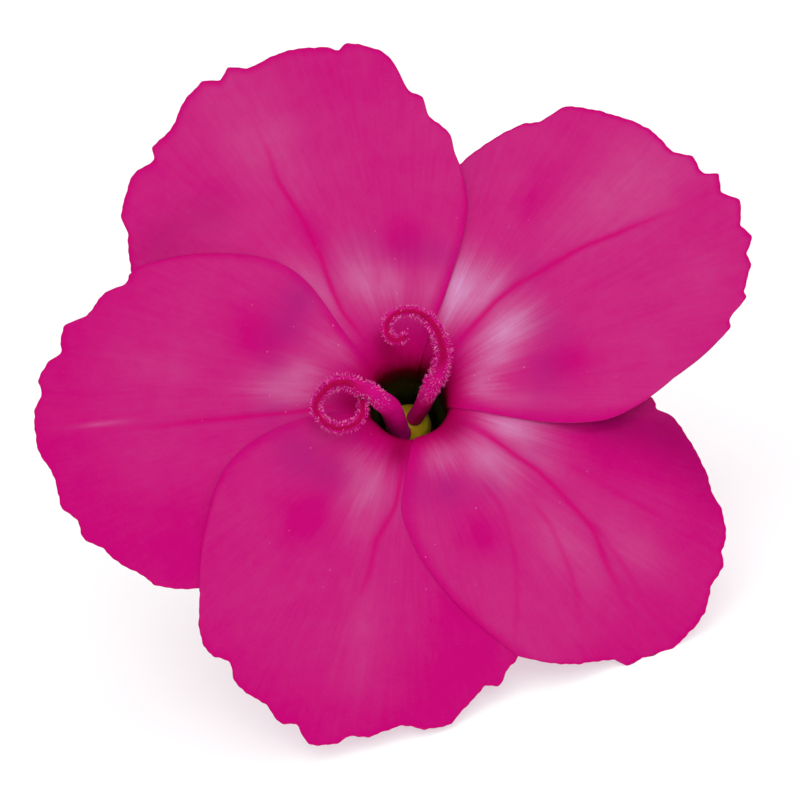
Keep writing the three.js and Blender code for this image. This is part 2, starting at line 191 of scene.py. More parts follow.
@dataclass(frozen=True)
class Skin:
    """A mesh in the making, in the flower's own frame.

    Attributes:
        points: A grid of points of any shape, in mm.
        faces: The corners of each face, as places in the flattened grid.
        values: By attribute, a value for each point, or fewer that spread over the grid.
        flat_map: Two values for each point, if the material needs them.
    """

    points: Array
    faces: Array
    values: dict[str, Array]
    flat_map: Array | None = None

    @classmethod
    def two_sided(cls, upper: Array, lower: Array, values: Sides, flat_map: Array) -> "Skin":
        """A closed sheet between two grids of points.

        Args:
            upper: The upper grid.
            lower: The lower grid.
            values: By attribute, its values on the upper and on the lower grid.
            flat_map: The flat map, which is the same on both.

        Returns:
            The skin, with a wall round its edge.
        """
        shape = upper.shape[:2]
        both = {}
        for label, sides in values.items():
            both[label] = np.stack([np.broadcast_to(side, shape) for side in sides])
        return cls(np.stack([upper, lower]), sheet_faces(*shape), both, np.stack([flat_map, flat_map]))

    def piece(self, name: str, slot: Slot, finish: bpy.types.Material, node: str | None = None) -> None:
        """Makes the piece at rest in the shared frame; what would sink into the surface is flattened on it.

        Args:
            name: The piece's name.
            slot: The record's slot; not used.
            finish: Its material.
            node: The solid that it replaces, if any.
        """
        points = REST.place(self.points.reshape(-1, 3))
        points[:, 2] = np.maximum(points[:, 2], 0.0)
        corner_index = self.faces.ravel().astype(np.int32)
        count, sides = self.faces.shape
        mesh = bpy.data.meshes.new(name)
        mesh.vertices.add(len(points))
        mesh.vertices.foreach_set("co", points.ravel())
        mesh.loops.add(corner_index.size)
        mesh.loops.foreach_set("vertex_index", corner_index)
        mesh.polygons.add(count)
        mesh.polygons.foreach_set("loop_start", np.arange(0, corner_index.size, sides, dtype=np.int32))
        mesh.polygons.foreach_set("use_smooth", np.ones(count, dtype=bool))
        for label, value in self.values.items():
            spread = np.broadcast_to(value, self.points.shape[:-1])
            made = mesh.attributes.new(label, "FLOAT", "POINT")
            made.data.foreach_set("value", spread.ravel().astype(np.float32))
        if self.flat_map is not None:
            flat = self.flat_map.reshape(-1, 2)[corner_index]
            layer = mesh.uv_layers.new(name="along")
            layer.data.foreach_set("uv", flat.ravel().astype(np.float32))
        mesh.update(calc_edges=True)
        mesh.validate()
        mesh.materials.append(finish)
        made_object = bpy.data.objects.new(name, mesh)
        bpy.context.scene.collection.objects.link(made_object)
        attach(made_object, "root")
        if node is not None:
            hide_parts(node)
        lowest = points[:, 2].min() / MM
        LOG.info("%s: %d triangles, lowest point %.4f mm up", name, count * (sides - 2), lowest)


def sheet_faces(rows: int, columns: int) -> Array:
    """Faces of a closed sheet: an upper grid, a lower grid after it, and a wall round the edge.

    Args:
        rows: Rows of points in each grid.
        columns: Points in a row.

    Returns:
        Four corners a face, upper faces turning from the row to the next column.
    """
    index = np.arange(rows * columns).reshape(rows, columns)
    upper = side_by_side(index[:-1, :-1], index[:-1, 1:], index[1:, 1:], index[1:, :-1]).reshape(-1, 4)
    lower = upper[:, [0, 3, 2, 1]] + index.size
    ring = np.concatenate([index[0, :-1], index[:-1, -1], index[-1, :0:-1], index[:0:-1, 0]])
    after = np.roll(ring, -1)
    return np.concatenate([upper, lower, side_by_side(ring + index.size, after + index.size, after, ring)])


def tube_faces(rings: int, sides: int) -> Array:
    """Faces of a tube of closed rings, each ring a row of points.

    Args:
        rings: The number of rings.
        sides: Points round each ring.

    Returns:
        Four corners a face.
    """
    index = np.arange(rings * sides).reshape(rings, sides)
    after = np.roll(index, -1, axis=1)
    return side_by_side(index[:-1], after[:-1], after[1:], index[1:]).reshape(-1, 4)


def _operator(operation: str, swapped: bool = False) -> Callable[["Wire", "Wire | float"], "Wire"]:
    """Makes a Python operator for wires that adds one Math node.

    Args:
        operation: The Math node's operation.
        swapped: Whether the other value comes first.

    Returns:
        The operator, as a method.
    """
    def applied(wire: "Wire", other: "Wire | float") -> "Wire":
        """The operation on the wire and the other value."""
        sockets = {0: other, 1: wire} if swapped else {0: wire, 1: other}
        return wire.sheet.node("ShaderNodeMath", {"operation": operation}, sockets)

    return applied


class Wire:
    """A shader socket that takes part in Python sums; each operator adds one Math node."""

    __add__ = _operator("ADD")
    __radd__ = _operator("ADD", swapped=True)
    __sub__ = _operator("SUBTRACT")
    __rsub__ = _operator("SUBTRACT", swapped=True)
    __mul__ = _operator("MULTIPLY")
    __truediv__ = _operator("DIVIDE")

    def __init__(self, sheet: "Sheet", socket: bpy.types.NodeSocket) -> None:
        """Keeps the socket and the sheet that it is on."""
        self.sheet = sheet
        self.socket = socket

    def beside(self, output: int | str) -> "Wire":
        """Another output of the same node, by name or number."""
        return Wire(self.sheet, self.socket.node.outputs[output])

    def held(self) -> "Wire":
        """This kept within 0 and 1."""
        return self.sheet.node("ShaderNodeClamp", {}, {"Value": self})

    def step(self, start: float, end: float) -> "Wire":
        """0 at start and 1 at end, with an even rise between them."""
        sockets = {"Value": self, "From Min": start, "From Max": end}
        return self.sheet.node("ShaderNodeMapRange", {"interpolation_type": "SMOOTHSTEP"}, sockets)


class Sheet:
    """One material's nodes."""

    def __init__(self, name: str) -> None:
        """Starts an empty material.

        Args:
            name: The material's name.
        """
        self.material = bpy.data.materials.new(name)
        self.material.use_nodes = True
        self.material.node_tree.nodes.clear()

    def node(self, kind: str, settings: dict, sockets: dict, output: int | str = 0) -> Wire:
        """Adds a node.

        Args:
            kind: The node's type.
            settings: Its settings, which are set first; stops are a colour ramp's.
            sockets: Values or wires by the name or the number of the input.
            output: The name or the number of the output that is handed back.

        Returns:
            The output as a wire.
        """
        tree = self.material.node_tree
        made = tree.nodes.new(kind)
        for key, value in settings.items():
            if key == "stops":
                self._set_stops(made.color_ramp, value)
            else:
                setattr(made, key, value)
        for key, value in sockets.items():
            if isinstance(value, Wire):
                tree.links.new(value.socket, made.inputs[key])
            else:
                made.inputs[key].default_value = value
        return Wire(self, made.outputs[output])

    @staticmethod
    def _set_stops(ramp: bpy.types.ColorRamp, stops: tuple[tuple[float, Colour], ...]) -> None:
        """Gives a colour ramp its stops.

        Args:
            ramp: The ramp.
            stops: Places from 0 to 1, each with its colour.
        """
        while len(ramp.elements) < len(stops):
            ramp.elements.new(1.0)
        for element, (place, colour) in zip(ramp.elements, stops):
            element.position = place
            element.color = (*colour, 1.0)

    def blend(self, share: Wire | float, first: Wire | Colour, second: Wire | Colour) -> Wire:
        """Mixes two colours by a share.

        Args:
            share: How much of the second colour is taken, from 0 to 1.
            first: The colour at 0.
            second: The colour at 1.

        Returns:
            The mixed colour.
        """
        wired = [value if isinstance(value, Wire) else (*value, 1.0) for value in (first, second)]
        settings = {"data_type": "RGBA", "clamp_factor": True}
        return self.node("ShaderNodeMix", settings, {0: share, 6: wired[0], 7: wired[1]}, 2)

    def tinted(self, colour: Wire, strength: Wire) -> Wire:
        """Makes a colour darker or lighter.

        Args:
            colour: The colour.
            strength: What its three values are multiplied by.

        Returns:
            The new colour.
        """
        grey = self.vector(strength, strength, strength)
        settings = {"data_type": "RGBA", "blend_type": "MULTIPLY"}
        return self.node("ShaderNodeMix", settings, {0: 1.0, 6: colour, 7: grey}, 2)

    def attribute(self, name: str) -> Wire:
        """A value that the mesh carries."""
        return self.node("ShaderNodeAttribute", {"attribute_name": name}, {}, "Fac")

    def along(self) -> tuple[Wire, Wire]:
        """Reads the piece's own flat map.

        Returns:
            The place across the piece and the place along it.
        """
        flat = self.node("ShaderNodeUVMap", {"uv_map": "along"}, {})
        first = self.node("ShaderNodeSeparateXYZ", {}, {0: flat})
        return first, first.beside(1)

    def place(self) -> Wire:
        """The place on the object, in metres."""
        return self.node("ShaderNodeTexCoord", {}, {}, "Object")

    def vector(self, first: Wire | float, second: Wire | float, third: Wire | float = 0.0) -> Wire:
        """Three values as one vector; the third is 0 unless it is given."""
        return self.node("ShaderNodeCombineXYZ", {}, {0: first, 1: second, 2: third})

    def noise(self, where: Wire, scale: float, detail: float, roughness: float) -> Wire:
        """Cloudy noise about 0.5; the finishes name its scale, detail and roughness as one Noise."""
        sockets = {"Vector": where, "Scale": scale, "Detail": detail, "Roughness": roughness}
        return self.node("ShaderNodeTexNoise", {}, sockets)

    def finish(
        self, colour: Wire, roughness: Wire, height: Wire, depth_mm: float, constants: dict[str, float]
    ) -> bpy.types.Material:
        """Ends the material with one surface shader and a relief.

        Args:
            colour: Its base colour.
            roughness: Its roughness.
            height: The relief, 0 to 1.
            depth_mm: How deep the relief is.
            constants: Values of the shader's own sockets that are the same all over.

        Returns:
            The material.
        """
        bumps = {"Strength": 1.0, "Distance": depth_mm * MM, "Height": height}
        relief = self.node("ShaderNodeBump", {}, bumps)
        sockets = {"Base Color": colour, "Roughness": roughness, "Normal": relief, **constants}
        shader = self.node("ShaderNodeBsdfPrincipled", {}, sockets)
        tree = self.material.node_tree
        tree.links.new(shader.socket, tree.nodes.new("ShaderNodeOutputMaterial").inputs["Surface"])
        return self.material


@dataclass(frozen=True)
class Patch:
    """A soft patch on a petal: its middle, half widths and how much paler or deeper it is."""

    degrees: float
    radius: float
    half_degrees: float
    half_length: float
    amount: float

    def on(self, degrees: Array, radius: Array) -> Array:
        """Amount times a bell curve across times a bell curve along."""
        across = bump(degrees, self.degrees, self.half_degrees)
        return self.amount * across * bump(radius, self.radius, self.half_length)


# Every petal is a little deeper in this one place beside its vein
BLOTCH = Patch(28.0, 9.0, 8.0, 1.6, -0.045)


def soft(*rows: tuple[float, float, float, float, float]) -> tuple[Patch, ...]:
    """Patches from rows of degrees, radius, half width in degrees, half length and amount."""
    return tuple(Patch(*row) for row in rows)


@dataclass(frozen=True)
class PetalPlan:
    """One petal; its places are degrees clockwise from its vein and mm from the flower's axis.

    Attributes:
        node: The solid that it replaces.
        vein: Where its vein points, in degrees anticlockwise from the flower's +X.
        lifted: The clockwise side, which lies on the next petal: pairs of degrees and mm.
        rim: The toothed rim: pairs of degrees and mm.
        crease: The crease along the vein: pairs of mm and degrees.
        body: How much paler than the deep magenta it is all over.
        fading: How much of that is lost towards the rim.
        patches: Paler or deeper patches; the pale ones are partly the petal's paler colour and partly
            painted sheen.
        dusks: Grey-violet patches.
        crimson_and_shade_patches: Crimson patches at the throat: the petal's own crimson, deepened by
            painted shade at the throat's edge and under a style.
        shades: Painted shadows, where the petal that lies over this one shades it.
        corner_lift: How far the lifted corner is raised, in mm.
        side_veins: Lines beside the vein: pairs of mm and degrees.
    """

    node: str
    vein: float
    lifted: Pairs
    rim: Pairs
    crease: Pairs
    body: float
    fading: float
    patches: tuple[Patch, ...]
    dusks: tuple[Patch, ...]
    crimson_and_shade_patches: tuple[Patch, ...] = ()
    shades: tuple[Patch, ...] = ()
    corner_lift: float = 0.0
    side_veins: tuple[Pairs, ...] = ()

    @property
    def crease_end(self) -> float:
        """How far from the axis the crease's line is drawn."""
        return self.crease[-1][0]

    def edge_at(self, radius: Array) -> Array:
        """Where the lifted edge is, in degrees clockwise of the vein."""
        edge = np.asarray(self.lifted + (self.rim[-1],), float)
        return np.interp(radius, edge[:, 1], edge[:, 0])


@dataclass(frozen=True)
class Spots:
    """Places on a petal: degrees clockwise of its vein, and the distance from the flower's axis in mm."""

    plan: PetalPlan
    degrees: Array
    radius: Array

    def from_line(self, line: Pairs) -> Array:
        """How far they are from a line on the petal, in mm, more than 0 on the clockwise side."""
        middle = np.interp(self.radius, *np.asarray(line, float).T)
        return np.radians(self.degrees - middle) * self.radius

    def painted(self, patches: tuple[Patch, ...]) -> Array:
        """The sum of soft patches."""
        return sum((patch.on(self.degrees, self.radius) for patch in patches), np.zeros_like(self.radius))


PETALS = (
    PetalPlan(
        node="petal_1",
        vein=121.0,
        lifted=((50, 4.5), (50, 8), (48, 11.4)),
        rim=(
            (-40, 15.4), (-35, 17.2), (-30.5, 18.3), (-27.7, 18.9), (-25.7, 19.8), (-19, 20.8), (-15, 20.5),
            (-13.6, 21.2), (-9.5, 21.3), (-5, 22.3), (-1, 22.8), (1.4, 22.4), (3.3, 22.9), (6.2, 22.35),
            (11.7, 22.4), (17.8, 21.85), (20, 21.45), (21.5, 21.85), (26.6, 21.2), (28.5, 20.4), (31, 18.6),
            (33.5, 18.2), (35, 17), (39.5, 16), (41.5, 14.8), (43, 14.2),
        ),
        crease=((4, -7), (6.2, -6.5), (9.4, -0.7), (12, 1), (14.8, 0.7), (16.9, 2.1), (19.5, 3)),
        body=0.036,
        fading=0.3,
        patches=soft(
            (-9, 7.8, 5.5, 2.2, 0.15), (9, 7.5, 9, 1.8, 0.21), (22, 6.6, 8, 1.3, 0.17),
            (42, 6.4, 8, 1.7, 0.09), (2, 18, 8, 4, 0.075), (1, 10.5, 4, 2, -0.03),
        ),
        dusks=soft((36, 8.3, 14, 1, 0.5), (13, 9.4, 9, 0.9, 0.25)),
        crimson_and_shade_patches=soft((8, 3.3, 14, 0.8, 0.5)),
        shades=soft((-27, 16.8, 8, 1.4, 0.15), (-16, 15.6, 6, 1.4, 0.1)),
    ),
    PetalPlan(
        node="petal_2",
        vein=40.0,
        lifted=((52.5, 3.2), (52.5, 7), (49, 10.6), (43.5, 12.7)),
        rim=(
            (-43, 12.4), (-38, 14.3), (-34, 15.8), (-28.5, 17.8), (-25.4, 18.4), (-22.5, 19.9), (-16, 20.7),
            (-9.5, 21.4), (-4, 21.35), (-1.5, 22), (1.5, 21.8), (3, 22.5), (5.5, 22), (8, 22.6),
            (9.5, 22.3), (11.5, 21.8), (14, 22), (16, 21.2), (18, 21.1), (21.7, 20.1), (23.2, 20),
            (26, 18.7), (28, 18.5), (33, 16), (40, 13.6),
        ),
        crease=((4, -8), (7.4, -8.3), (9.1, -6.6), (10.6, -4.2), (13.2, -1.8), (15.3, 0.8), (21, 5.6)),
        body=0.042,
        fading=0.2,
        patches=soft(
            (-25, 6.6, 8, 1.8, 0.58), (-14, 7.4, 5, 1.7, 0.25), (5, 6.7, 9.5, 1.7, 0.44),
            (16, 5.4, 8, 1.1, 0.22), (32, 4.2, 14, 0.9, 0.24), (46, 5.4, 7, 2.2, 0.09),
            (-4, 17.5, 6.5, 4.5, 0.085), (-18, 13.5, 4, 1.6, -0.035), (17, 18.6, 4.5, 1.2, 0.03),
        ),
        dusks=soft((14, 9, 9, 1.2, 0.4), (-7, 10.1, 7, 1, 0.25), (31, 7.8, 9, 1.3, 0.45)),
        shades=soft((-40, 13, 7, 5, 0.12)),
        corner_lift=0.8,
    ),
    PetalPlan(
        node="petal_3",
        vein=-35.0,
        lifted=((52, 3), (59, 6), (53.5, 8.5), (45.5, 11.1), (37, 14.1)),
        rim=(
            (-41, 11.8), (-35, 13.6), (-32, 14), (-30.5, 14.9), (-21, 17), (-17, 17.7), (-14.5, 18.5),
            (-11, 19.2), (-8, 19.4), (-6, 19.8), (-2, 19.8), (2, 20.3), (6, 20.3), (9.5, 20.2),
            (11, 19.9), (12.5, 19.9), (14, 19.4), (16.5, 19.4), (18, 18.5), (24, 17.6), (27, 17.1),
            (33, 15.8),
        ),
        crease=((4, -8), (6.7, -4.9), (8.3, -3.9), (10.4, -0.9), (12.6, 1.7), (14.7, 6.8), (19, 12.5)),
        body=0.042,
        fading=0.7,
        patches=soft(
            (-17, 6.1, 6.5, 1.6, 0.4), (-8, 7.8, 5, 1.4, 0.08), (4, 5.7, 11, 1.4, 0.28),
            (6, 7.2, 7, 1, 0.08), (28, 4.1, 16, 0.8, 0.17), (10, 12.3, 5.5, 2.6, 0.07),
            (0, 14.6, 4, 2, 0.06), (-22, 13, 10, 4.5, -0.06),
        ),
        dusks=soft(
            (46, 5.4, 10, 0.9, 0.45), (32, 6, 9, 0.9, 0.55), (14, 6.9, 8, 0.8, 0.3),
            (-12, 7.9, 6, 0.9, 0.25),
        ),
        crimson_and_shade_patches=soft((0, 3.2, 20, 0.8, 0.5)),
        shades=soft((-27, 11.5, 7, 1.6, 0.24), (-28, 14.5, 8, 2.2, 0.34), (-23, 18, 8, 2.4, 0.26)),
        side_veins=(
            ((6.3, 16.2), (8.1, 16.8), (10.7, 22.6), (15.4, 33.7)),
            ((9, 6.9), (10.5, 8.3), (13.7, 14.1), (16, 19.3)),
            ((12.1, 0.1), (14.2, 3), (17.5, 7)),
            ((9.5, -11), (12.5, -9.5), (16.5, -8)),
        ),
    ),
    PetalPlan(
        node="petal_4",
        vein=-101.0,
        lifted=((64, 4), (65, 7), (58.5, 10.5), (46, 13.4)),
        rim=(
            (-40, 13.8), (-33, 15.8), (-30, 16.3), (-28, 16.9), (-25, 16.8), (-20, 17.9), (-17.5, 18.5),
            (-13.5, 18.6), (-9.5, 18.4), (-4.5, 19.1), (-1.5, 19.2), (0.5, 19.7), (4.5, 20.1),
            (7.5, 19.3), (10, 19.5), (13.5, 18.9), (18, 18.8), (20, 18.5), (22, 17.9), (25, 18.1),
            (27.5, 18), (31, 17.2), (34, 16.2), (35.5, 15.9),
        ),
        crease=((4, -6), (6.3, -4.4), (8.4, 1.5), (10.4, 1.3), (12.3, 3.5), (14, 5)),
        body=0.032,
        fading=0.9,
        patches=soft(
            (12, 5.8, 9, 1.4, 0.2), (-4, 5.9, 5, 1.2, 0.08), (26, 4.9, 9, 0.8, 0.08),
            (9, 8, 6, 1.2, 0.04), (0, 13.5, 4.5, 2.6, 0.045), (-24, 14.5, 10, 5, -0.04),
        ),
        dusks=soft((50, 7.2, 11, 1.2, 0.6), (33, 6.4, 9, 1.1, 0.5)),
        crimson_and_shade_patches=soft((-2, 3.4, 13, 1, 0.68), (62, 4.9, 6, 0.7, 0.4)),
    ),
    PetalPlan(
        node="petal_5",
        vein=-173.0,
        lifted=((47, 3.2), (55, 7), (54.5, 10.3), (43, 14.4)),
        rim=(
            (-42, 13.9), (-36, 15.9), (-34, 16.6), (-30, 17.6), (-27, 17.9), (-23.5, 18.6), (-20, 19),
            (-17.5, 19.7), (-14, 19.7), (-11, 20.3), (-6, 20.3), (-1, 21), (3, 21.1), (5.5, 21.1),
            (8, 20.7), (10, 21), (13, 20.5), (14.5, 19.9), (17, 20), (19.3, 19.9), (21.7, 18.8),
            (26, 18.4), (29.5, 17.45), (31.5, 17.5), (34, 17.2),
        ),
        crease=((4, -2), (6.4, -1.7), (9, -0.6), (11.8, 0.1), (14.4, -0.1), (17, 1.9)),
        body=0.036,
        fading=0.8,
        patches=soft(
            (9, 7.1, 7.5, 1.6, 0.23), (20, 6.1, 8, 1.2, 0.17), (42, 4.9, 9, 1.4, 0.13),
            (54, 7.4, 5, 1.4, 0.08), (2, 17, 0.45, 1.3, 0.12), (-26, 16, 12, 5, -0.04),
            (14, 15, 4, 2.6, 0.03),
        ),
        dusks=soft(
            (48, 8.3, 9, 1.3, 0.7), (34, 8, 8, 1.3, 0.55), (20, 7.9, 7, 1, 0.3),
            (-1, 7.8, 8, 1.2, 0.45),
        ),
        crimson_and_shade_patches=soft((0, 3.4, 10, 0.9, 0.5)),
    ),
)

# The side that lies under the petal before is the same on all petals, in degrees and mm
HIDDEN_SIDE: Pairs = ((-40, 4), (-43, 8), (-43, 11))


@dataclass(frozen=True)
class PetalLine:
    """The line that each petal follows: a claw in the cup, a rounded shoulder, then the blade."""

    throat_radius: float = 2.3
    claw_radius: float = 1.95
    claw_length: float = 12.9
    claw_bend: float = 4.0
    shoulder_radius: float = 2.4
    blade_level: float = -0.2
    blade_drop: float = 0.8
    blade_reach: float = 15.0

    @property
    def shoulder_length(self) -> float:
        """A quarter of the shoulder's circle."""
        return self.shoulder_radius * np.pi / 2.0

    @property
    def throat_level(self) -> float:
        """The height at which the shoulder begins."""
        return self.blade_level - self.shoulder_radius

    def at(self, length: Array) -> tuple[Array, Array, Array, Array]:
        """The line at a length from the throat, negative on the claw.

        On the claw the height falls with the length and the radius narrows a little. On the shoulder both
        follow a quarter circle. On the blade the radius grows with the length, and the height drops by
        the share of the reach to the power of 1.5.

        Args:
            length: Lengths along the line, in mm.

        Returns:
            Radius, height, and the upper face's direction out from the axis and up.
        """
        turn = np.clip(length / self.shoulder_radius, 0.0, np.pi / 2.0)
        beyond = np.maximum(length - self.shoulder_length, 0.0)
        below = np.maximum(-length, 0.0)
        narrowing = (self.throat_radius - self.claw_radius) * ease(below, 0.0, self.claw_bend)
        radius = self.throat_radius - narrowing + self.shoulder_radius * (1.0 - np.cos(turn)) + beyond
        level = self.throat_level - below + self.shoulder_radius * np.sin(turn)
        level = level - self.blade_drop * (beyond / self.blade_reach) ** 1.5
        return radius, level, -np.cos(turn), np.sin(turn)

    def length_at(self, radius: Array) -> Array:
        """The length at which the line is this far from the axis, on the shoulder or beyond.

        Args:
            radius: Distances from the axis in mm.

        Returns:
            Lengths along the petal, in mm from the top of its claw.
        """
        beyond = np.asarray(radius, float) - self.throat_radius
        on_arc = np.clip(1.0 - beyond / self.shoulder_radius, 0.0, 1.0)
        return self.shoulder_radius * np.arccos(on_arc) + np.maximum(beyond - self.shoulder_radius, 0.0)


LINE = PetalLine()


def weighted(wires: tuple[Wire, ...], weights: tuple[float, ...]) -> Wire:
    """Adds up some wires, each times its weight.

    Args:
        wires: The wires.
        weights: A weight for each.

    Returns:
        The sum.
    """
    total = wires[0] * weights[0]
    for wire, weight in zip(wires[1:], weights[1:]):
        total = total + wire * weight
    return total


@dataclass(frozen=True)
class PetalFinish:
    """The colours of a petal, from its toothed rim to its claw."""

    deep: Colour = (0.453, 0.001, 0.143)
    # Lilac that the petal pales to; it is its paler colour and also painted sheen where the petal faces the
    # light
    pale: Colour = (0.58, 0.34, 0.57)
    dusk: Colour = (0.34, 0.008, 0.15)
    # Deep crimson: the claw's colour darkened with painted shade, for the throat's edge and a style's
    # shadow
    crimson: Colour = (0.2, 0.0, 0.025)
    vein: Colour = (0.48, 0.0, 0.12)
    under: Colour = (0.55, 0.14, 0.37)
    claw_back: Colour = (0.4, 0.44, 0.2)
    speck: Colour = (0.66, 0.12, 0.36)
    # From the claw's foot to the throat: pale green, then dark olive and near-black, which are painted
    # shade deep in the throat, then crimson and deep pink
    claw_colours_and_shade: tuple[tuple[float, Colour], ...] = (
        (0.0, (0.36, 0.44, 0.16)),
        (0.4, (0.12, 0.16, 0.015)),
        (0.6, (0.06, 0.085, 0.006)),
        (0.7, (0.035, 0.025, 0.003)),
        (0.76, (0.1, 0.0, 0.008)),
        (0.82, (0.24, 0.0, 0.032)),
        (0.88, (0.44, 0.0, 0.1)),
        (1.0, (0.53, 0.0, 0.14)),
    )
    claw_start: float = -12.9
    claw_end: float = 3.4
    lines: Noise = (1.0, 4.0, 0.62)
    threads: Noise = (1.0, 2.0, 0.6)
    broad: Noise = (1.0, 3.0, 0.55)
    cloud: Noise = (260.0, 3.0, 0.6)
    grain: Noise = (9000.0, 2.0, 0.6)
    mottle: Noise = (1500.0, 3.0, 0.6)
    lines_pace: Point = (0.9, 0.22, 0.0)
    threads_pace: Point = (5.0, 0.9, 7.0)
    broad_pace: Point = (0.12, 0.35, 3.0)
    pale_weights: tuple[float, ...] = (0.6, 0.2, 1.1, 0.3)
    pale_less: float = 0.1
    mottle_paleness: float = 0.012
    line_paleness: float = 0.022
    grain_paleness: float = 0.026
    cloud_paleness: float = 0.042
    dusk_bands: float = 1.2
    dusk_least: float = 0.2
    vein_share: float = 0.75
    under_share: float = 0.5
    under_lines: float = 0.4
    speck_scale: float = 1500.0
    speck_choice: Span = (0.62, 0.7)
    speck_size: Span = (0.03, 0.1)
    speck_share: float = 0.8
    claw_lines: float = 0.1
    claw_cloud: float = 0.2
    claw_back_fades: Span = (0.6, 0.95)
    throat_begins: float = 0.8
    roughness: float = 0.52
    line_roughness: float = 0.2
    height_weights: tuple[float, ...] = (0.4, 0.2, 0.25, 0.15)
    depth_mm: float = 0.03
    specular: float = 0.02

    def material(self) -> bpy.types.Material:
        """Magenta that pales where the mesh says, in fine lines that run out from the throat; the paleness
        is the petal's paler colour together with painted sheen.

        Lines, threads and the broad bands follow the flat map; clouds, mottle, grain and specks follow the
        place on the object. Towards the claw the colours of the claw's stops take over.

        Returns:
            The material.
        """
        sheet = Sheet("petal_velvet")
        across, along = sheet.along()
        pale = sheet.attribute("pale")
        under = sheet.attribute("under")
        where = sheet.place()

        def flat(pace: Point) -> Wire:
            """The flat map at a pace across and along, shifted to a layer of its own."""
            return sheet.vector(across * pace[0], along * pace[1], under + pace[2] if pace[2] else under)

        lines = sheet.noise(flat(self.lines_pace), *self.lines)
        threads = sheet.noise(flat(self.threads_pace), *self.threads)
        broad = sheet.noise(flat(self.broad_pace), *self.broad)
        cloud = sheet.noise(where, *self.cloud)
        grain = sheet.noise(where, *self.grain)
        mottle = sheet.noise(where, *self.mottle)
        spread = weighted((lines, threads, broad, mottle), self.pale_weights) - self.pale_less
        fine = (mottle - 0.5) * self.mottle_paleness + (lines - 0.5) * self.line_paleness
        fine = fine + (grain - 0.5) * self.grain_paleness
        # Pale patches: the petal's paler colour and painted sheen, broken up by fine noise
        share = pale * spread + (cloud - 0.5) * self.cloud_paleness + fine
        body = sheet.blend(share.held(), self.deep, self.pale)
        dusk = sheet.attribute("dusk") * (broad * self.dusk_bands + self.dusk_least)
        body = sheet.blend(dusk.held(), body, self.dusk)
        body = sheet.blend(sheet.attribute("vein") * self.vein_share, body, self.vein)
        # Painted shadows cast by the petal that lies over this one
        body = sheet.tinted(body, 1.0 - sheet.attribute("shade"))
        body = sheet.blend(under * (self.under_share + lines * self.under_lines), body, self.under)
        cells = sheet.node("ShaderNodeTexVoronoi", {}, {"Vector": where, "Scale": self.speck_scale})
        draw = sheet.node("ShaderNodeSeparateXYZ", {}, {0: cells.beside("Color")})
        chosen = draw.step(*self.speck_choice)
        specks = (1.0 - cells.step(*self.speck_size)) * chosen * sheet.attribute("specked")
        body = sheet.blend((specks * self.speck_share).held(), body, self.speck)
        claw = (along - self.claw_start) / (self.claw_end - self.claw_start)
        claw = claw + (lines - 0.5) * self.claw_lines + (cloud - 0.5) * self.claw_cloud
        # The claw's colours, darkened to painted shade deep in the throat
        throat = sheet.node("ShaderNodeValToRGB", {"stops": self.claw_colours_and_shade}, {"Fac": claw.held()})
        back = sheet.blend(claw.step(*self.claw_back_fades), self.claw_back, self.under)
        throat = sheet.blend(under, throat, back)
        colour = sheet.blend(along.step(self.claw_end, self.throat_begins), body, throat)
        # Crimson at the throat: the petal's own colour deepened by painted shade
        colour = sheet.blend(sheet.attribute("crimson"), colour, self.crimson)
        roughness = self.roughness + lines * self.line_roughness
        height = weighted((lines, threads, mottle, grain), self.height_weights)
        return sheet.finish(colour, roughness, height, self.depth_mm, {"Specular IOR Level": self.specular})


@dataclass(frozen=True)
class Relief:
    """Creases, pillows and ripples of the petals, handed over to the next petal past each lifted edge."""

    crease_depth: float = 0.1
    crease_width: float = 0.42
    crease_grows: Span = (3.5, 7.0)
    crease_fades: Span = (13.0, 20.0)
    pillow: float = 0.28
    pillow_gap: float = 3.2
    pillow_middle: float = 4.0
    pillow_width: float = 4.5
    pillow_grows: Span = (4.5, 10.0)
    ripple: float = 0.16
    ripple_waves: Waves = ((1.0, 9.0, 1.0), (0.6, 17.0, 2.0))
    ripple_grows: Span = (9.0, 21.0)
    handover: float = 4.0

    def own(self, spots: Spots) -> Array:
        """A petal's crease along its vein, with a pillow on each side, and ripples that grow to the rim.

        Args:
            spots: Places on the petal.

        Returns:
            Height over the petal's line, in mm.
        """
        radius = spots.radius
        aside = spots.from_line(spots.plan.crease)
        fading = band(radius, *self.crease_grows, *self.crease_fades)
        groove = -self.crease_depth * bump(aside, 0.0, self.crease_width) * fading
        pillow = self.pillow * (1.0 - bump(aside, 0.0, self.pillow_gap)) * ease(radius, *self.pillow_grows)
        pillow = pillow * bump(np.abs(aside), self.pillow_middle, self.pillow_width)
        ripple = waves(np.radians(spots.degrees), np.radians(spots.plan.vein) * 5.0, self.ripple_waves)
        return groove + pillow + self.ripple * ripple * ease(radius, *self.ripple_grows)

    def at(self, angle: Array, radius: Array) -> Array:
        """The relief that all petals share where they overlap.

        Args:
            angle: Degrees round the flower's axis.
            radius: Distance from it.

        Returns:
            Height over the petals' line, in mm.
        """
        total = np.zeros_like(radius)
        for order, plan in enumerate(PETALS):
            before = PETALS[order - 1]
            spots = Spots(plan, wrapped(plan.vein - angle), radius)
            start = before.edge_at(radius) - (before.vein - plan.vein) % 360.0
            begun = ease(spots.degrees - start, 0.0, self.handover)
            ended = ease(spots.degrees - plan.edge_at(radius), 0.0, self.handover)
            total += self.own(spots) * (begun - ended)
        return total


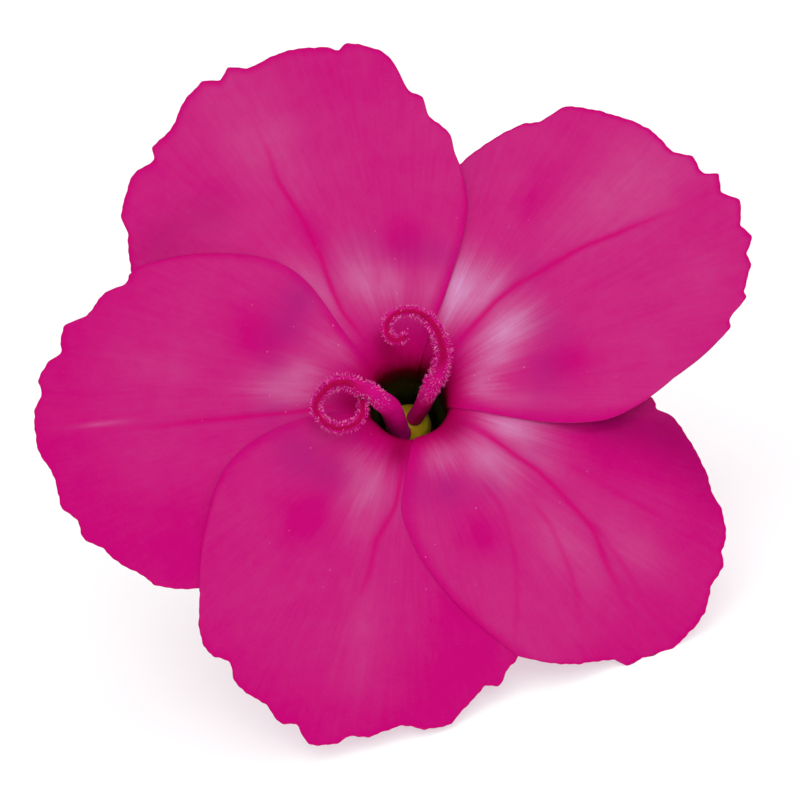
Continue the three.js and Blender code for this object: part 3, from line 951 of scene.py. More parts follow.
@dataclass(frozen=True)
class Marks:
    """The soft marks of a petal, which the mesh carries and the material paints."""

    ring_radius: float = 7.3
    ring_rise: float = 1.2
    ring_width: float = 1.1
    ring_share: float = 0.14
    body_grows: Span = (3.4, 5.6)
    body_fades: Span = (13.0, 20.0)
    rim_fade: float = 0.9
    underside_paler: float = 0.02
    fringe_depth: float = 0.14
    fringe_waves: Waves = ((1.0, 0.8, 1.0), (0.8, 1.9, 2.0), (0.7, 4.3, 1.0))
    crease_share: float = 0.7
    crease_width: float = 0.26
    crease_fades: float = 6.0
    vein_width: float = 0.12
    vein_grows: Span = (4.0, 5.5)
    vein_fades: float = 7.0
    side_vein_width: float = 0.17
    side_vein_starts: Span = (-0.5, 1.0)
    side_vein_ends: Span = (-2.0, 1.0)
    side_vein_share: float = 0.45
    side_vein_red: float = 0.18
    rim_red: float = 0.5
    rim_red_width: float = 0.3
    rim_red_grows: Span = (11.0, 14.0)
    specks_grow: Span = (0.5, 2.0)
    specks_fade: Span = (6.0, 15.0)

    def side_veins(self, spots: Spots) -> Array:
        """How strongly the side veins show: a bell curve across each line, fading at its ends.

        Args:
            spots: The petal's points.

        Returns:
            Shares from 0 up.
        """
        total = np.zeros_like(spots.radius)
        for line in spots.plan.side_veins:
            fading = ease(spots.radius - line[0][0], *self.side_vein_starts)
            fading = fading * (1.0 - ease(spots.radius - line[-1][0], *self.side_vein_ends))
            total += bump(spots.from_line(line), 0.0, self.side_vein_width) * fading
        return total

    def paleness(self, spots: Spots, edge: Array) -> Array:
        """How pale the petal is: its paler colour and painted sheen, as soft patches with a fringe, less
        along the veins and at the rim.

        Args:
            spots: Places on the petal.
            edge: Their distance from its free edge.

        Returns:
            0 where the petal is deep magenta, more where it pales.
        """
        plan, radius, end = spots.plan, spots.radius, spots.plan.crease_end
        fringe = self.fringe_depth * waves(spots.degrees, np.radians(plan.vein) * 3.0, self.fringe_waves)
        patches = Spots(plan, spots.degrees, radius + fringe).painted(plan.patches)
        crease = bump(spots.from_line(plan.crease), 0.0, self.crease_width)
        line = 1.0 - self.crease_share * crease * (1.0 - ease(radius, end - self.crease_fades, end))
        line = line * (1.0 - self.side_vein_share * self.side_veins(spots))
        body = plan.body * (1.0 - ease(radius, *self.body_fades) * plan.fading) + spots.painted((BLOTCH,))
        body = body * ease(radius, *self.body_grows)
        return np.maximum((patches + body) * line, 0.0) * ease(edge, 0.0, self.rim_fade)

    def red_lines(self, spots: Spots, edge: Array) -> Array:
        """How strongly the deep red lines show: the vein, the side veins and the outer edge.

        Args:
            spots: Places on the petal.
            edge: Their distance from its free edge.

        Returns:
            0 off the lines, up to 1 on them.
        """
        end = spots.plan.crease_end
        vein = bump(spots.from_line(spots.plan.crease), 0.0, self.vein_width)
        vein = vein * band(spots.radius, *self.vein_grows, end - self.vein_fades, end)
        rim = self.rim_red * bump(edge, 0.0, self.rim_red_width) * ease(spots.radius, *self.rim_red_grows)
        return np.maximum(np.maximum(vein, self.side_vein_red * self.side_veins(spots)), rim)

    def dusk(self, spots: Spots) -> Array:
        """The grey-violet ring, farther out on the upper petals, and the patches of that colour.

        Args:
            spots: The petal's points.

        Returns:
            Shares from 0 up.
        """
        upwards = np.sin(np.radians(spots.plan.vein - spots.degrees))
        ring = bump(spots.radius, self.ring_radius + self.ring_rise * upwards, self.ring_width)
        return ring * self.ring_share + spots.painted(spots.plan.dusks)

    def both_sides(self, spots: Spots, length: Array, edge: Array) -> Sides:
        """Everything that a petal's mesh carries.

        Args:
            spots: Places on the petal.
            length: Their length along its line.
            edge: Their distance from its free edge.

        Returns:
            By the attribute's name, its values on the upper and on the lower side.
        """
        pale, red = self.paleness(spots, edge), self.red_lines(spots, edge)
        specked = ease(length, *self.specks_grow) * (1.0 - ease(spots.radius, *self.specks_fade))
        return {
            "pale": (pale, pale + self.underside_paler),
            "dusk": (self.dusk(spots), 0.0),
            "under": (0.0, 1.0),
            "vein": (red, red),
            # Painted shadows, on the upper side only
            "shade": (spots.painted(spots.plan.shades), 0.0),
            # Crimson and painted shade at the throat, on the upper side only
            "crimson": (spots.painted(spots.plan.crimson_and_shade_patches), 0.0),
            "specked": (specked, 0.0),
        }


@dataclass(frozen=True)
class Bloom:
    """The five petals, laid like a pinwheel, each a thin closed sheet along the petals' line."""

    relief: Relief = Relief()
    marks: Marks = Marks()
    columns: int = 300
    blade_rows: int = 88
    claw_rows: int = 20
    side_crowding: float = 0.3
    rim_crowding: float = 1.35
    claw_clearance: float = 0.12
    claw_narrowing: float = 0.5
    claw_narrows: Span = (7.0, 12.9)
    throat_overlap: float = 5.0
    overlap_ends: float = 6.0
    squeeze: float = 0.24
    squeeze_angle: float = -85.0
    squeeze_degrees: float = 55.0
    squeeze_middle: float = 1.4
    squeeze_length: float = 2.2
    lift_per_degree: float = 0.003
    lift_grows: Span = (-5.0, 3.0)
    tuck: float = 0.1
    tuck_width: float = 1.1
    tuck_grows: Span = (0.0, 2.0)
    corner_turns: Span = (22.0, 46.0)
    corner_grows: Span = (6.0, 12.0)
    relief_grows: Span = (0.0, 4.0)
    thick: float = 0.14
    thin: float = 0.09
    thins: Span = (5.0, 18.0)
    edge_width: float = 0.6
    edge_share: float = 0.3
    side_degrees: float = 80.0
    claw_room: float = 9.0
    rim_roundness: float = 0.32
    nick_depth: float = 0.017
    nick_waves: Waves = ((1.0, 1.3, 1.0), (1.0, 2.3, 2.0), (1.0, 4.1, 3.0))
    nicks_grow: Span = (0.86, 1.0)
    nicks_inset: float = 0.05

    def claw_sides(self, plan: PetalPlan, depth: Array | float) -> tuple[Array, Array]:
        """How far a claw reaches to each side: half way to the next vein, less a small clearance.

        Near the throat the lifted side reaches on, over the next claw. Deep in the cup the claw narrows.

        Args:
            plan: The petal.
            depth: How far below the throat, in mm.

        Returns:
            Degrees clockwise of the vein on the hidden side, then on the lifted side.
        """
        order = PETALS.index(plan)
        before, after = PETALS[order - 1], PETALS[(order + 1) % len(PETALS)]
        width = 1.0 - self.claw_narrowing * ease(depth, *self.claw_narrows)
        hidden = ((before.vein - plan.vein) % 360.0 / 2.0 - self.claw_clearance) * width
        lifted = ((plan.vein - after.vein) % 360.0 / 2.0 - self.claw_clearance) * width
        return -hidden, lifted + self.throat_overlap * (1.0 - ease(depth, 0.0, self.overlap_ends))

    @staticmethod
    def lengths(pairs: Pairs) -> Array:
        """Pairs of degrees and radius, with the radius as a length along the petal's line."""
        values = np.asarray(pairs, float)
        return side_by_side(values[:, 0], LINE.length_at(values[:, 1]))

    def outline(self, plan: PetalPlan, out: Array, across: Array) -> Array:
        """A patch between four edges: the throat, the hidden side, the lifted side and the toothed rim.

        It is the blend of throat and rim along, plus the blend of the sides across, less the blend of
        the four corners. Small nicks, a sum of three sines of the angle, are added near the rim.

        Args:
            plan: The petal.
            out: Shares of the way from throat to rim.
            across: Shares of the way from the hidden side to the lifted side.

        Returns:
            Degrees clockwise of the vein, and length along the petal's line.
        """
        rim = self.lengths(plan.rim)
        foot = np.array([[side, 0.0] for side in self.claw_sides(plan, 0.0)])
        hidden = np.vstack([foot[:1], self.lengths(HIDDEN_SIDE), rim[:1]])
        lifted = np.vstack([foot[1:], self.lengths(plan.lifted), rim[-1:]])
        share, aside = out[..., None], across[..., None]
        near, far = mix(foot[0], foot[1], aside), mix(rim[0], rim[-1], aside)
        ends = mix(near, curve_through(rim, across, self.rim_roundness), share)
        sides = mix(curve_through(hidden, out), curve_through(lifted, out), aside)
        places = ends + sides - mix(near, far, share)
        nicks = self.nick_depth * waves(places[..., 0], np.radians(plan.vein) * 7.0, self.nick_waves)
        inset = np.minimum(across, 1.0 - across)
        places[..., 1] += nicks * ease(out, *self.nicks_grow) * ease(inset, 0.0, self.nicks_inset)
        return places

    def surface(self, plan: PetalPlan, degrees: Array, length: Array, height: Array) -> Array:
        """Points of a petal: its line, raised by its lift, the shared relief and a height.

        On the lower side of the throat the line is drawn in a little, by a bell curve both ways.

        Args:
            plan: The petal.
            degrees: Degrees clockwise of its vein.
            length: Length along its line.
            height: Height over its middle, in mm.

        Returns:
            Points in the flower's own frame.
        """
        radius, level, out, up = LINE.at(length)
        angle = plan.vein - degrees
        inside = np.radians(plan.edge_at(radius) - degrees) * radius
        lift = self.lift_per_degree * degrees * ease(length, *self.lift_grows)
        tucked = (1.0 - ease(inside, 0.0, self.tuck_width)) * ease(length, *self.tuck_grows)
        corner = ease(degrees, *self.corner_turns) * ease(radius, *self.corner_grows)
        lift = lift - self.tuck * tucked + plan.corner_lift * corner
        lift = lift + self.relief.at(angle, radius) * ease(length, *self.relief_grows) + height
        drawn_in = bump(wrapped(angle - self.squeeze_angle), 0.0, self.squeeze_degrees)
        drawn_in = drawn_in * bump(length, self.squeeze_middle, self.squeeze_length)
        radius = radius + out * lift - self.squeeze * drawn_in
        return round_axis(radius, np.radians(angle), level + up * lift)

    def petal(self, plan: PetalPlan, finish: bpy.types.Material) -> None:
        """Builds one petal, from the foot of its claw to its toothed rim.

        Columns crowd towards the sides and rows towards the rim, where the sheet is rounded off.

        Args:
            plan: The petal.
            finish: Its material.
        """
        share = np.linspace(0.0, 1.0, self.columns)
        across = share - self.side_crowding * np.sin(2.0 * np.pi * share) / (2.0 * np.pi)
        out = 1.0 - (1.0 - np.linspace(0.0, 1.0, self.blade_rows)) ** self.rim_crowding
        depth = np.linspace(LINE.claw_length, 0.0, self.claw_rows, endpoint=False)[:, None]
        claw = side_by_side(mix(*self.claw_sides(plan, depth), across), -depth)
        places = np.concatenate([claw, self.outline(plan, *np.meshgrid(out, across, indexing="ij"))])
        degrees, length = places[..., 0], places[..., 1]
        radius = LINE.at(length)[0]
        rim_room = np.full_like(radius, self.claw_room)
        rim_room[self.claw_rows:] = (1.0 - out)[:, None] * length[-1]
        side_room = np.minimum(across, 1.0 - across) * radius * np.radians(self.side_degrees)
        edge = np.minimum(rim_room, side_room)
        thickness = mix(self.thick, self.thin, ease(radius, *self.thins))
        half = thickness * mix(self.edge_share, 1.0, rounded(edge, self.edge_width)) / 2.0
        skin = Skin.two_sided(
            self.surface(plan, degrees, length, half),
            self.surface(plan, degrees, length, -half),
            self.marks.both_sides(Spots(plan, degrees, radius), length, edge),
            side_by_side(degrees + plan.vein, length),
        )
        skin.piece(f"{plan.node}_velvet", Slot.PETAL, finish, plan.node)

    def build(self) -> None:
        """Builds all five petals."""
        finish = PetalFinish().material()
        for plan in PETALS:
            self.petal(plan, finish)


@dataclass(frozen=True)
class StyleFinish:
    """The colours of a style: smooth magenta with a bare crimson ridge."""

    body: Colour = (0.58, 0.003, 0.21)
    foot: Colour = (0.95, 0.004, 0.32)
    ridge: Colour = (0.33, 0.0, 0.05)
    seam: Colour = (0.8, 0.0, 0.08)
    stem: Colour = (0.74, 0.01, 0.3)
    hair: Colour = (0.98, 0.34, 0.64)
    cells: Noise = (14000.0, 2.0, 0.6)
    cloud: Noise = (1800.0, 2.0, 0.5)
    darkest: float = 0.75
    cloud_share: float = 0.5
    roughness: float = 0.4
    cell_roughness: float = 0.25
    depth_mm: float = 0.02
    specular: float = 0.03
    hair_cloud: Noise = (5000.0, 2.0, 0.5)
    hair_contrast: float = 5.0
    hair_less: float = 2.2
    hair_roughness: float = 0.2
    hair_depth_mm: float = 0.005
    hair_specular: float = 0.04

    def material(self) -> bpy.types.Material:
        """The style itself; its foot, its ridge and its seam are where the mesh says.

        Returns:
            The material of the two tubes.
        """
        sheet = Sheet("style_skin")
        ridge = sheet.attribute("ridge")
        where = sheet.place()
        cells = sheet.noise(where, *self.cells)
        cloud = sheet.noise(where, *self.cloud)
        body = sheet.blend(sheet.attribute("foot"), self.body, self.foot)
        body = sheet.blend(ridge.held(), body, self.ridge)
        body = sheet.tinted(body, self.darkest + cloud * self.cloud_share)
        body = sheet.blend(sheet.attribute("seam"), body, self.seam)
        roughness = self.roughness + cells * self.cell_roughness
        return sheet.finish(body, roughness, cells, self.depth_mm, {"Specular IOR Level": self.specular})

    def hair_material(self) -> bpy.types.Material:
        """The short pale hairs, deeper at their foot.

        Returns:
            The material of the hairs.
        """
        sheet = Sheet("style_hair")
        tip = sheet.attribute("tip")
        cloud = sheet.noise(sheet.place(), *self.hair_cloud)
        share = tip * (cloud * self.hair_contrast - self.hair_less)
        colour = sheet.blend(share.held(), self.stem, self.hair)
        roughness = self.roughness + cloud * self.hair_roughness
        constants = {"Specular IOR Level": self.hair_specular}
        return sheet.finish(colour, roughness, cloud, self.hair_depth_mm, constants)


@dataclass(frozen=True)
class StylePlan:
    """One style: points of its middle line, and where its hairs and its bare ridge begin."""

    node: str
    path: tuple[Point, ...]
    hair_start: float
    ridge_start: float
    girth: float
    seed: int
    seam: float = 0.0


STYLES = (
    StylePlan(
        node="style_right",
        path=(
            (0.35, 0.1, -5.7), (0.78, 0.35, -4), (1.15, 0.64, -1.6), (1.68, 1.36, -0.1), (1.9, 2.15, 0.8),
            (1.7, 2.95, 1.4), (1.3, 3.6, 1.7), (0.8, 4.05, 1.8), (0.1, 4.3, 1.8), (-0.75, 4.15, 1.8),
            (-1.2, 3.6, 1.8), (-1.2, 3, 1.7), (-0.75, 2.65, 1.6), (-0.1, 2.9, 1.6),
        ),
        hair_start=0.22,
        ridge_start=0.44,
        girth=1.0,
        seed=11,
        seam=0.85,
    ),
    StylePlan(
        node="style_left",
        path=(
            (-0.45, -0.7, -6), (-0.55, -1, -5.4), (-0.65, -0.75, -4.4), (-1.05, -0.3, -2),
            (-1.6, -0.3, -0.2), (-2.15, -0.15, 1), (-2.8, 0, 1.6), (-3.55, 0.2, 1.8), (-4.35, 0, 1.8),
            (-4.9, -0.6, 1.8), (-5.15, -1.2, 1.8), (-4.85, -1.85, 1.7), (-4.35, -2.25, 1.7),
            (-3.7, -2.4, 1.7), (-3, -2.15, 1.65), (-2.62, -1.6, 1.45), (-2.55, -0.95, 1.15),
            (-2.6, -0.45, 0.85),
        ),
        hair_start=0.34,
        ridge_start=0.48,
        girth=1.28,
        seed=23,
    ),
)

# A hair's corners are three at its foot, three at its knee and the tip
HAIR_FACES = (
    (0, 1, 4), (0, 4, 3), (1, 2, 5), (1, 5, 4), (2, 0, 3), (2, 3, 5), (3, 4, 6), (4, 5, 6), (5, 3, 6),
    (0, 2, 1),
)


@dataclass(frozen=True)
class Styles:
    """The two curled styles and their hairs; spans are shares of a style's length from its root."""

    rings: int = 180
    sides: int = 28
    root_radius: float = 0.48
    middle_radius: float = 0.5
    tip_radius: float = 0.24
    swells: Span = (0.0, 0.25)
    girth_fades: Span = (0.15, 0.6)
    thins: Span = (0.35, 0.75)
    blunt_end: float = 0.025
    least_share: float = 0.02
    ridge_faces: Point = (0.0, -0.3, 0.95)
    ridge_grows: Span = (-0.04, 0.08)
    ridge_rise: float = 0.22
    ridge_width: float = 0.5
    ridge_sink: float = 0.05
    ridge_colour: Span = (0.2, 0.85)
    foot_fades: Span = (0.1, 0.4)
    seam_turn: float = 24.0
    seam_fades: Span = (0.2, 0.36)
    seam_width: Span = (0.1, 0.4)
    hairs: int = 1050
    hair_crowding: float = 1.4
    bare_degrees: float = 30.0
    bare_grows: Span = (-0.06, 0.04)
    hair_degrees: float = 110.0
    hair_root: float = 0.93
    hair_length: float = 0.3
    hair_lengths: Span = (0.35, 1.15)
    hairs_grow: Span = (-0.05, 0.2)
    tip_shortening: float = 0.25
    least_length: float = 0.05
    hair_width: float = 0.036
    hair_widths: Span = (0.8, 1.3)
    hair_lean: float = 0.35
    hair_bend: float = 0.25
    knee: float = 0.6

    def middle_line(self, plan: StylePlan) -> tuple[Array, Array, Array, Array]:
        """The style's middle line in even steps, with its direction and two directions across.

        Args:
            plan: The style.

        Returns:
            Points, directions along, directions to the ridge and directions aside.
        """
        fine = curve_through(plan.path, np.linspace(0.0, 1.0, 2000))
        walked = np.concatenate([[0.0], np.cumsum(np.linalg.norm(np.diff(fine, axis=0), axis=1))])
        even = np.linspace(0.0, walked[-1], self.rings)
        points = np.stack([np.interp(even, walked, fine[:, axis]) for axis in range(3)], -1)
        along = unit(np.gradient(points, axis=0))
        faces = np.array(self.ridge_faces)
        ridge = unit(faces - (along @ faces)[:, None] * along)
        return points, along, ridge, np.cross(along, ridge)

    def radius_at(self, plan: StylePlan, share: Array) -> Array:
        """The tube's radius: nearly even up to the curl, then thinning to a rounded tip.

        Args:
            plan: The style.
            share: Shares of its length from the root.

        Returns:
            Radius in mm, without the ridge.
        """
        girth = mix(plan.girth, 1.0, ease(share, *self.girth_fades))
        width = girth * mix(self.root_radius, self.middle_radius, ease(share, *self.swells))
        width = width + (self.tip_radius - self.middle_radius) * ease(share, *self.thins)
        return width * np.maximum(rounded(1.0 - share, self.blunt_end), self.least_share)

    def build_style(self, plan: StylePlan, finish: bpy.types.Material) -> None:
        """Builds one style as a tube with a raised ridge, closed by a point at each end.

        Args:
            plan: The style.
            finish: Its material.
        """
        points, _, ridge, aside = self.middle_line(plan)
        share = np.linspace(0.0, 1.0, self.rings)[:, None]
        turn = np.linspace(-np.pi, np.pi, self.sides, endpoint=False)[None, :]
        raised = ease(share - plan.ridge_start, *self.ridge_grows)
        swell = raised * (self.ridge_rise * bump(turn, 0.0, self.ridge_width) - self.ridge_sink)
        radius = self.radius_at(plan, share) * (1.0 + swell)
        across = np.cos(turn)[..., None] * ridge[:, None] + np.sin(turn)[..., None] * aside[:, None]
        rings = points[:, None] + radius[..., None] * across
        winding = np.abs(turn - np.radians(self.seam_turn))
        seam = (1.0 - ease(share, *self.seam_fades)) * (1.0 - ease(winding, *self.seam_width))
        low = np.broadcast_to(1.0 - ease(share, *self.foot_fades), radius.shape)
        values = {
            "ridge": np.append(raised * (1.0 - ease(np.abs(turn), *self.ridge_colour)), [0.0, 1.0]),
            "foot": np.append(low, [1.0, 0.0]),
            "seam": np.append(plan.seam * seam, [0.0, 0.0]),
        }
        tube = tube_faces(self.rings, self.sides)
        first = np.arange(self.sides)
        last = first + (self.rings - 1) * self.sides
        root, tip = self.rings * self.sides, self.rings * self.sides + 1
        foot = side_by_side(root, np.roll(first, -1), first)
        head = side_by_side(tip, last, np.roll(last, -1))
        body = Skin(
            points=np.concatenate([rings.reshape(-1, 3), points[[0, -1]]]),
            faces=np.concatenate([tube[:, [0, 1, 2]], tube[:, [0, 2, 3]], foot, head]),
            values=values,
        )
        body.piece(f"{plan.node}_skin", Slot.STYLE, finish, plan.node)

    def build_hairs(self, plan: StylePlan, finish: bpy.types.Material) -> None:
        """Short blunt hairs on both sides of the ridge, each a bent three-sided spike of ten faces.

        Args:
            plan: The style that they stand on.
            finish: Their material.
        """
        points, along, ridge, aside = self.middle_line(plan)
        draw = np.random.default_rng(plan.seed)
        share = plan.hair_start + (1.0 - plan.hair_start) * draw.random(self.hairs) ** self.hair_crowding
        side = np.where(draw.random(self.hairs) < 0.5, -1.0, 1.0)
        bare = self.bare_degrees * ease(share - plan.ridge_start, *self.bare_grows)
        turn = side * np.radians(bare + (self.hair_degrees - bare) * draw.random(self.hairs))
        place = share * (self.rings - 1)
        step = np.minimum(place.astype(int), self.rings - 2)
        part = (place - step)[:, None]

        def here(values: Array) -> Array:
            """The values at each hair's place along the style."""
            return mix(values[step], values[step + 1], part)

        outward = unit(np.cos(turn)[:, None] * here(ridge) + np.sin(turn)[:, None] * here(aside))
        root = here(points) + outward * (self.radius_at(plan, share) * self.hair_root)[:, None]
        pointing = unit(outward + draw.normal(0.0, self.hair_lean, (self.hairs, 3)))
        grown = ease(share - plan.hair_start, *self.hairs_grow)
        grown = grown * (1.0 - self.tip_shortening * ease(share, 0.5, 1.0))
        length = self.hair_length * draw.uniform(*self.hair_lengths, self.hairs) * grown
        length = np.maximum(length, self.least_length)[:, None]
        width = (self.hair_width * draw.uniform(*self.hair_widths, self.hairs))[:, None]
        side_way = unit(np.cross(pointing, unit(here(along))))
        other_way = np.cross(pointing, side_way)

        def corners_round(middle: Array, size: float) -> list[Array]:
            """Three corners round each hair's middle."""
            turns = np.radians([0.0, 120.0, 240.0])
            return [middle + size * width * (np.cos(t) * side_way + np.sin(t) * other_way) for t in turns]

        foot = corners_round(root, 1.0)
        knee = corners_round(root + pointing * length * self.knee, self.knee)
        bend = draw.normal(0.0, self.hair_bend, (self.hairs, 3))
        vertices = np.stack([*foot, *knee, root + unit(pointing + bend) * length], 1)
        faces = np.arange(self.hairs)[:, None, None] * vertices.shape[1] + np.array(HAIR_FACES)
        tips = np.repeat([0.0, self.knee, 1.0], [3, 3, 1])
        hairs = Skin(points=vertices, faces=faces.reshape(-1, 3), values={"tip": tips})
        hairs.piece(f"{plan.node}_hairs", Slot.STYLE, finish)

    def build(self) -> None:
        """Builds both styles and their hairs."""
        finish = StyleFinish()
        skin, hair = finish.material(), finish.hair_material()
        for plan in STYLES:
            self.build_style(plan, skin)
            self.build_hairs(plan, hair)


# The green pieces' flat maps run in degrees round the axis, and in these units for each mm along it
MAP_PER_MM = 10.0


@dataclass(frozen=True)
class GreenFinish:
    """A plant green with fine lines along it and a paler or flushed tint where the mesh says."""

    name: str
    colour: Colour
    light: Colour
    flush: Colour
    roughness: float = 0.45
    lines: Noise = (1.0, 3.0, 0.6)
    lines_across: float = 0.5
    lines_along: float = 0.12
    cloud: Noise = (500.0, 3.0, 0.55)
    grain: Noise = (12000.0, 2.0, 0.6)
    paleness: float = 0.1
    rib_paleness: float = 0.6
    line_paleness: float = 0.9
    cloud_paleness: float = 0.8
    cloud_roughness: float = 0.2
    line_height: float = 0.6
    grain_height: float = 0.4
    depth_mm: float = 0.03
    specular: float = 0.4

    def material(self) -> bpy.types.Material:
        """Lines along the piece, a soft cloud, and the tint by the mesh's flush value.

        Returns:
            The material.
        """
        sheet = Sheet(self.name)
        across, along = sheet.along()
        where = sheet.place()
        stretched = sheet.vector(across * self.lines_across, along * self.lines_along)
        lines = sheet.noise(stretched, *self.lines)
        cloud = sheet.noise(where, *self.cloud)
        grain = sheet.noise(where, *self.grain)
        light = sheet.attribute("rib") * self.rib_paleness + (lines - 0.5) * self.line_paleness
        light = light + (cloud - 0.5) * self.cloud_paleness + self.paleness
        body = sheet.blend(light.held(), self.colour, self.light)
        body = sheet.blend(sheet.attribute("flush").held(), body, self.flush)
        height = lines * self.line_height + grain * self.grain_height
        roughness = self.roughness + cloud * self.cloud_roughness
        return sheet.finish(body, roughness, height, self.depth_mm, {"Specular IOR Level": self.specular})


@dataclass(frozen=True)
class Calyx:
    """The green cup: a ribbed tube with a floor and five pointed teeth."""

    outer: Pairs = (
        (1.3, -18.5), (1.9, -18.3), (2.6, -17.4), (3.0, -16.0), (3.2, -13.0), (3.2, -8.0), (3.25, -6.0),
        (3.5, -3.6),
    )
    inner: Pairs = (
        (1.4, -17.9), (2.0, -17.3), (2.4, -16.0), (2.6, -13.0), (2.6, -8.0), (2.7, -6.0), (3.05, -3.6),
    )
    tip: float = -3.6
    root: float = -7.6
    half_gap: float = 2.15
    first_gap: float = 40.0
    knee_height: float = 0.4
    knee_width: float = 0.35
    mouth_radius: float = 3.6
    middle_radius: float = 0.8
    lip: float = 0.22
    lip_share: float = 0.03
    teeth: int = 5
    ribs: int = 35
    rib_height: float = 0.035
    ribs_grow: Span = (-18.0, -16.0)
    flush: float = 0.75
    flush_depth: float = 0.54
    columns: int = 350
    wall_rows: int = 46

    @staticmethod
    def wall(pairs: Pairs, level: Array) -> Array:
        """The radius of a wall at a height, between its pairs of radius and height."""
        fine = curve_through(pairs, np.linspace(0.0, 1.0, 400), roundness=0.4)
        return np.interp(level, np.maximum.accumulate(fine[:, 1]), fine[:, 0])

    def mouth(self, angle: Array) -> Array:
        """The height of the mouth at each angle: pointed teeth between gaps with curved sides.

        Each side of a gap is a quadratic curve from the gap's root, by a knee, to the tooth's tip.

        Args:
            angle: Degrees round the axis.

        Returns:
            Heights in mm.
        """
        aside = np.abs(np.radians(wrapped(angle - self.first_gap, 360.0 / self.teeth))) * self.mouth_radius
        share = np.linspace(0.0, 1.0, 60)

        def curve(start: float, knee: float, end: float) -> Array:
            """A quadratic curve at the shares."""
            return (1.0 - share) ** 2 * start + 2.0 * share * (1.0 - share) * knee + share**2 * end

        half = curve(0.0, self.half_gap * self.knee_width, self.half_gap)
        level = curve(self.root, mix(self.root, self.tip, self.knee_height), self.tip)
        return np.interp(aside, half, level)

    def rows(self, base: Span, outer: Array, inner: Array | float, floor: Span) -> Array:
        """One value all over the cup.

        Args:
            base: The value at the middle of the base and at its edge.
            outer: The values up the outer wall.
            inner: The values down the inner wall.
            floor: The value at the edge of the floor and at its middle.

        Returns:
            A row of values for each ring of points.
        """
        ends = [np.full((self.columns, 1), value) for value in (*base, *floor)]
        walls = [np.broadcast_to(wall, (self.columns, self.wall_rows)) for wall in (outer, inner)]
        return np.concatenate([*ends[:2], *walls, *ends[2:]], 1).T

    def build(self) -> None:
        """Builds the cup as one closed skin: base, outer wall, mouth, inner wall and floor."""
        finish = GreenFinish("calyx_green", (0.13, 0.24, 0.045), (0.3, 0.42, 0.14), (0.3, 0.07, 0.09))
        angle = np.linspace(0.0, 360.0, self.columns, endpoint=False)[:, None]
        share = np.linspace(0.0, 1.0, self.wall_rows)[None, :]
        mouth = self.mouth(angle)
        base, floor = self.outer[0][1], self.inner[0][1]
        outer_level, inner_level = mix(base, mouth, share), mix(mouth, floor, share)
        ribs = np.cos(np.radians(angle) * self.ribs)
        outer = self.wall(self.outer, outer_level) - self.lip * bump(share, 1.0, self.lip_share)
        outer = outer + self.rib_height * ribs * ease(outer_level, *self.ribs_grow)
        inner = self.wall(self.inner, inner_level) + self.lip * bump(share, 0.0, self.lip_share)
        radius = self.rows((0.0, self.middle_radius), outer, inner, (self.middle_radius, 0.0))
        level = self.rows((base, base), outer_level, inner_level, (floor, floor))
        flush = self.flush * bump(mouth - outer_level, 0.0, self.flush_depth)
        none = (0.0, 0.0)
        skin = Skin(
            points=round_axis(radius, np.radians(angle.T), level),
            faces=tube_faces(*level.shape),
            values={
                "flush": self.rows(none, flush, 0.0, none),
                "rib": self.rows(none, 0.5 + 0.5 * ribs, 0.0, none),
            },
            flat_map=side_by_side(angle.T, level * MAP_PER_MM),
        )
        skin.piece("calyx_ribbed", Slot.CUP, finish.material(), "calyx")


@dataclass(frozen=True)
class Bracts:
    """Four scales that hug the foot of the cup."""

    thickness: float = 0.7
    face_gap: float = 0.1
    back_gap: float = 0.05
    foot: float = -18.1
    span: float = 38.0
    least_span: float = 2.0
    widest: float = 0.3
    foot_width: float = 0.75
    widening: float = 0.83
    taper: float = 0.8
    edge_share: float = 0.25
    edge_width: float = 0.7
    mm_per_degree: float = 0.05
    tip_length: float = 4.0
    rim_flush: float = 0.6
    rim_width: float = 0.25
    tip_flush: float = 0.5
    tip_flushes: Span = (0.88, 1.0)
    keel_width: float = 0.1
    heights: tuple[float, ...] = (7.2, 8.4, 7.2, 8.4)
    first: float = 45.0
    rows: int = 60
    columns: int = 41

    def build(self) -> None:
        """Builds each scale as a closed sheet on the cup's wall, widest below its middle and pointed."""
        green = GreenFinish("bract_green", (0.17, 0.27, 0.06), (0.36, 0.46, 0.18), (0.5, 0.42, 0.25))
        finish = green.material()
        steps = np.linspace(0.0, 1.0, self.rows), np.linspace(-1.0, 1.0, self.columns)
        share, across = np.meshgrid(*steps, indexing="ij")
        growing = self.foot_width + share * self.widening
        thinning = np.maximum(1.0 - (share - self.widest) / (1.0 - self.widest), 0.0) ** self.taper
        half_span = self.span * np.where(share < self.widest, growing, thinning)
        half_span = np.maximum(half_span, self.least_span)
        room = (1.0 - np.abs(across)) * half_span * self.mm_per_degree
        swell = rounded(np.minimum(room, (1.0 - share) * self.tip_length), self.edge_width)
        margin = self.rim_flush * bump(room, 0.0, self.rim_width)
        margin = margin + self.tip_flush * ease(share, *self.tip_flushes)
        keel = bump(across, 0.0, self.keel_width)
        for order, height in enumerate(self.heights):
            level = self.foot + share * height
            angle = np.radians(self.first + order * 90.0 + across * half_span)
            wall = Calyx.wall(Calyx.outer, level)
            outer = wall + self.face_gap + self.thickness * mix(self.edge_share, 1.0, swell)
            skin = Skin.two_sided(
                round_axis(outer, angle, level),
                round_axis(wall + self.back_gap, angle, level),
                {"flush": (margin, margin), "rib": (keel, keel)},
                side_by_side(np.degrees(angle), level * MAP_PER_MM),
            )
            skin.piece(f"bract_{order + 1}_scale", Slot.CUP, finish, f"bract_{order + 1}")


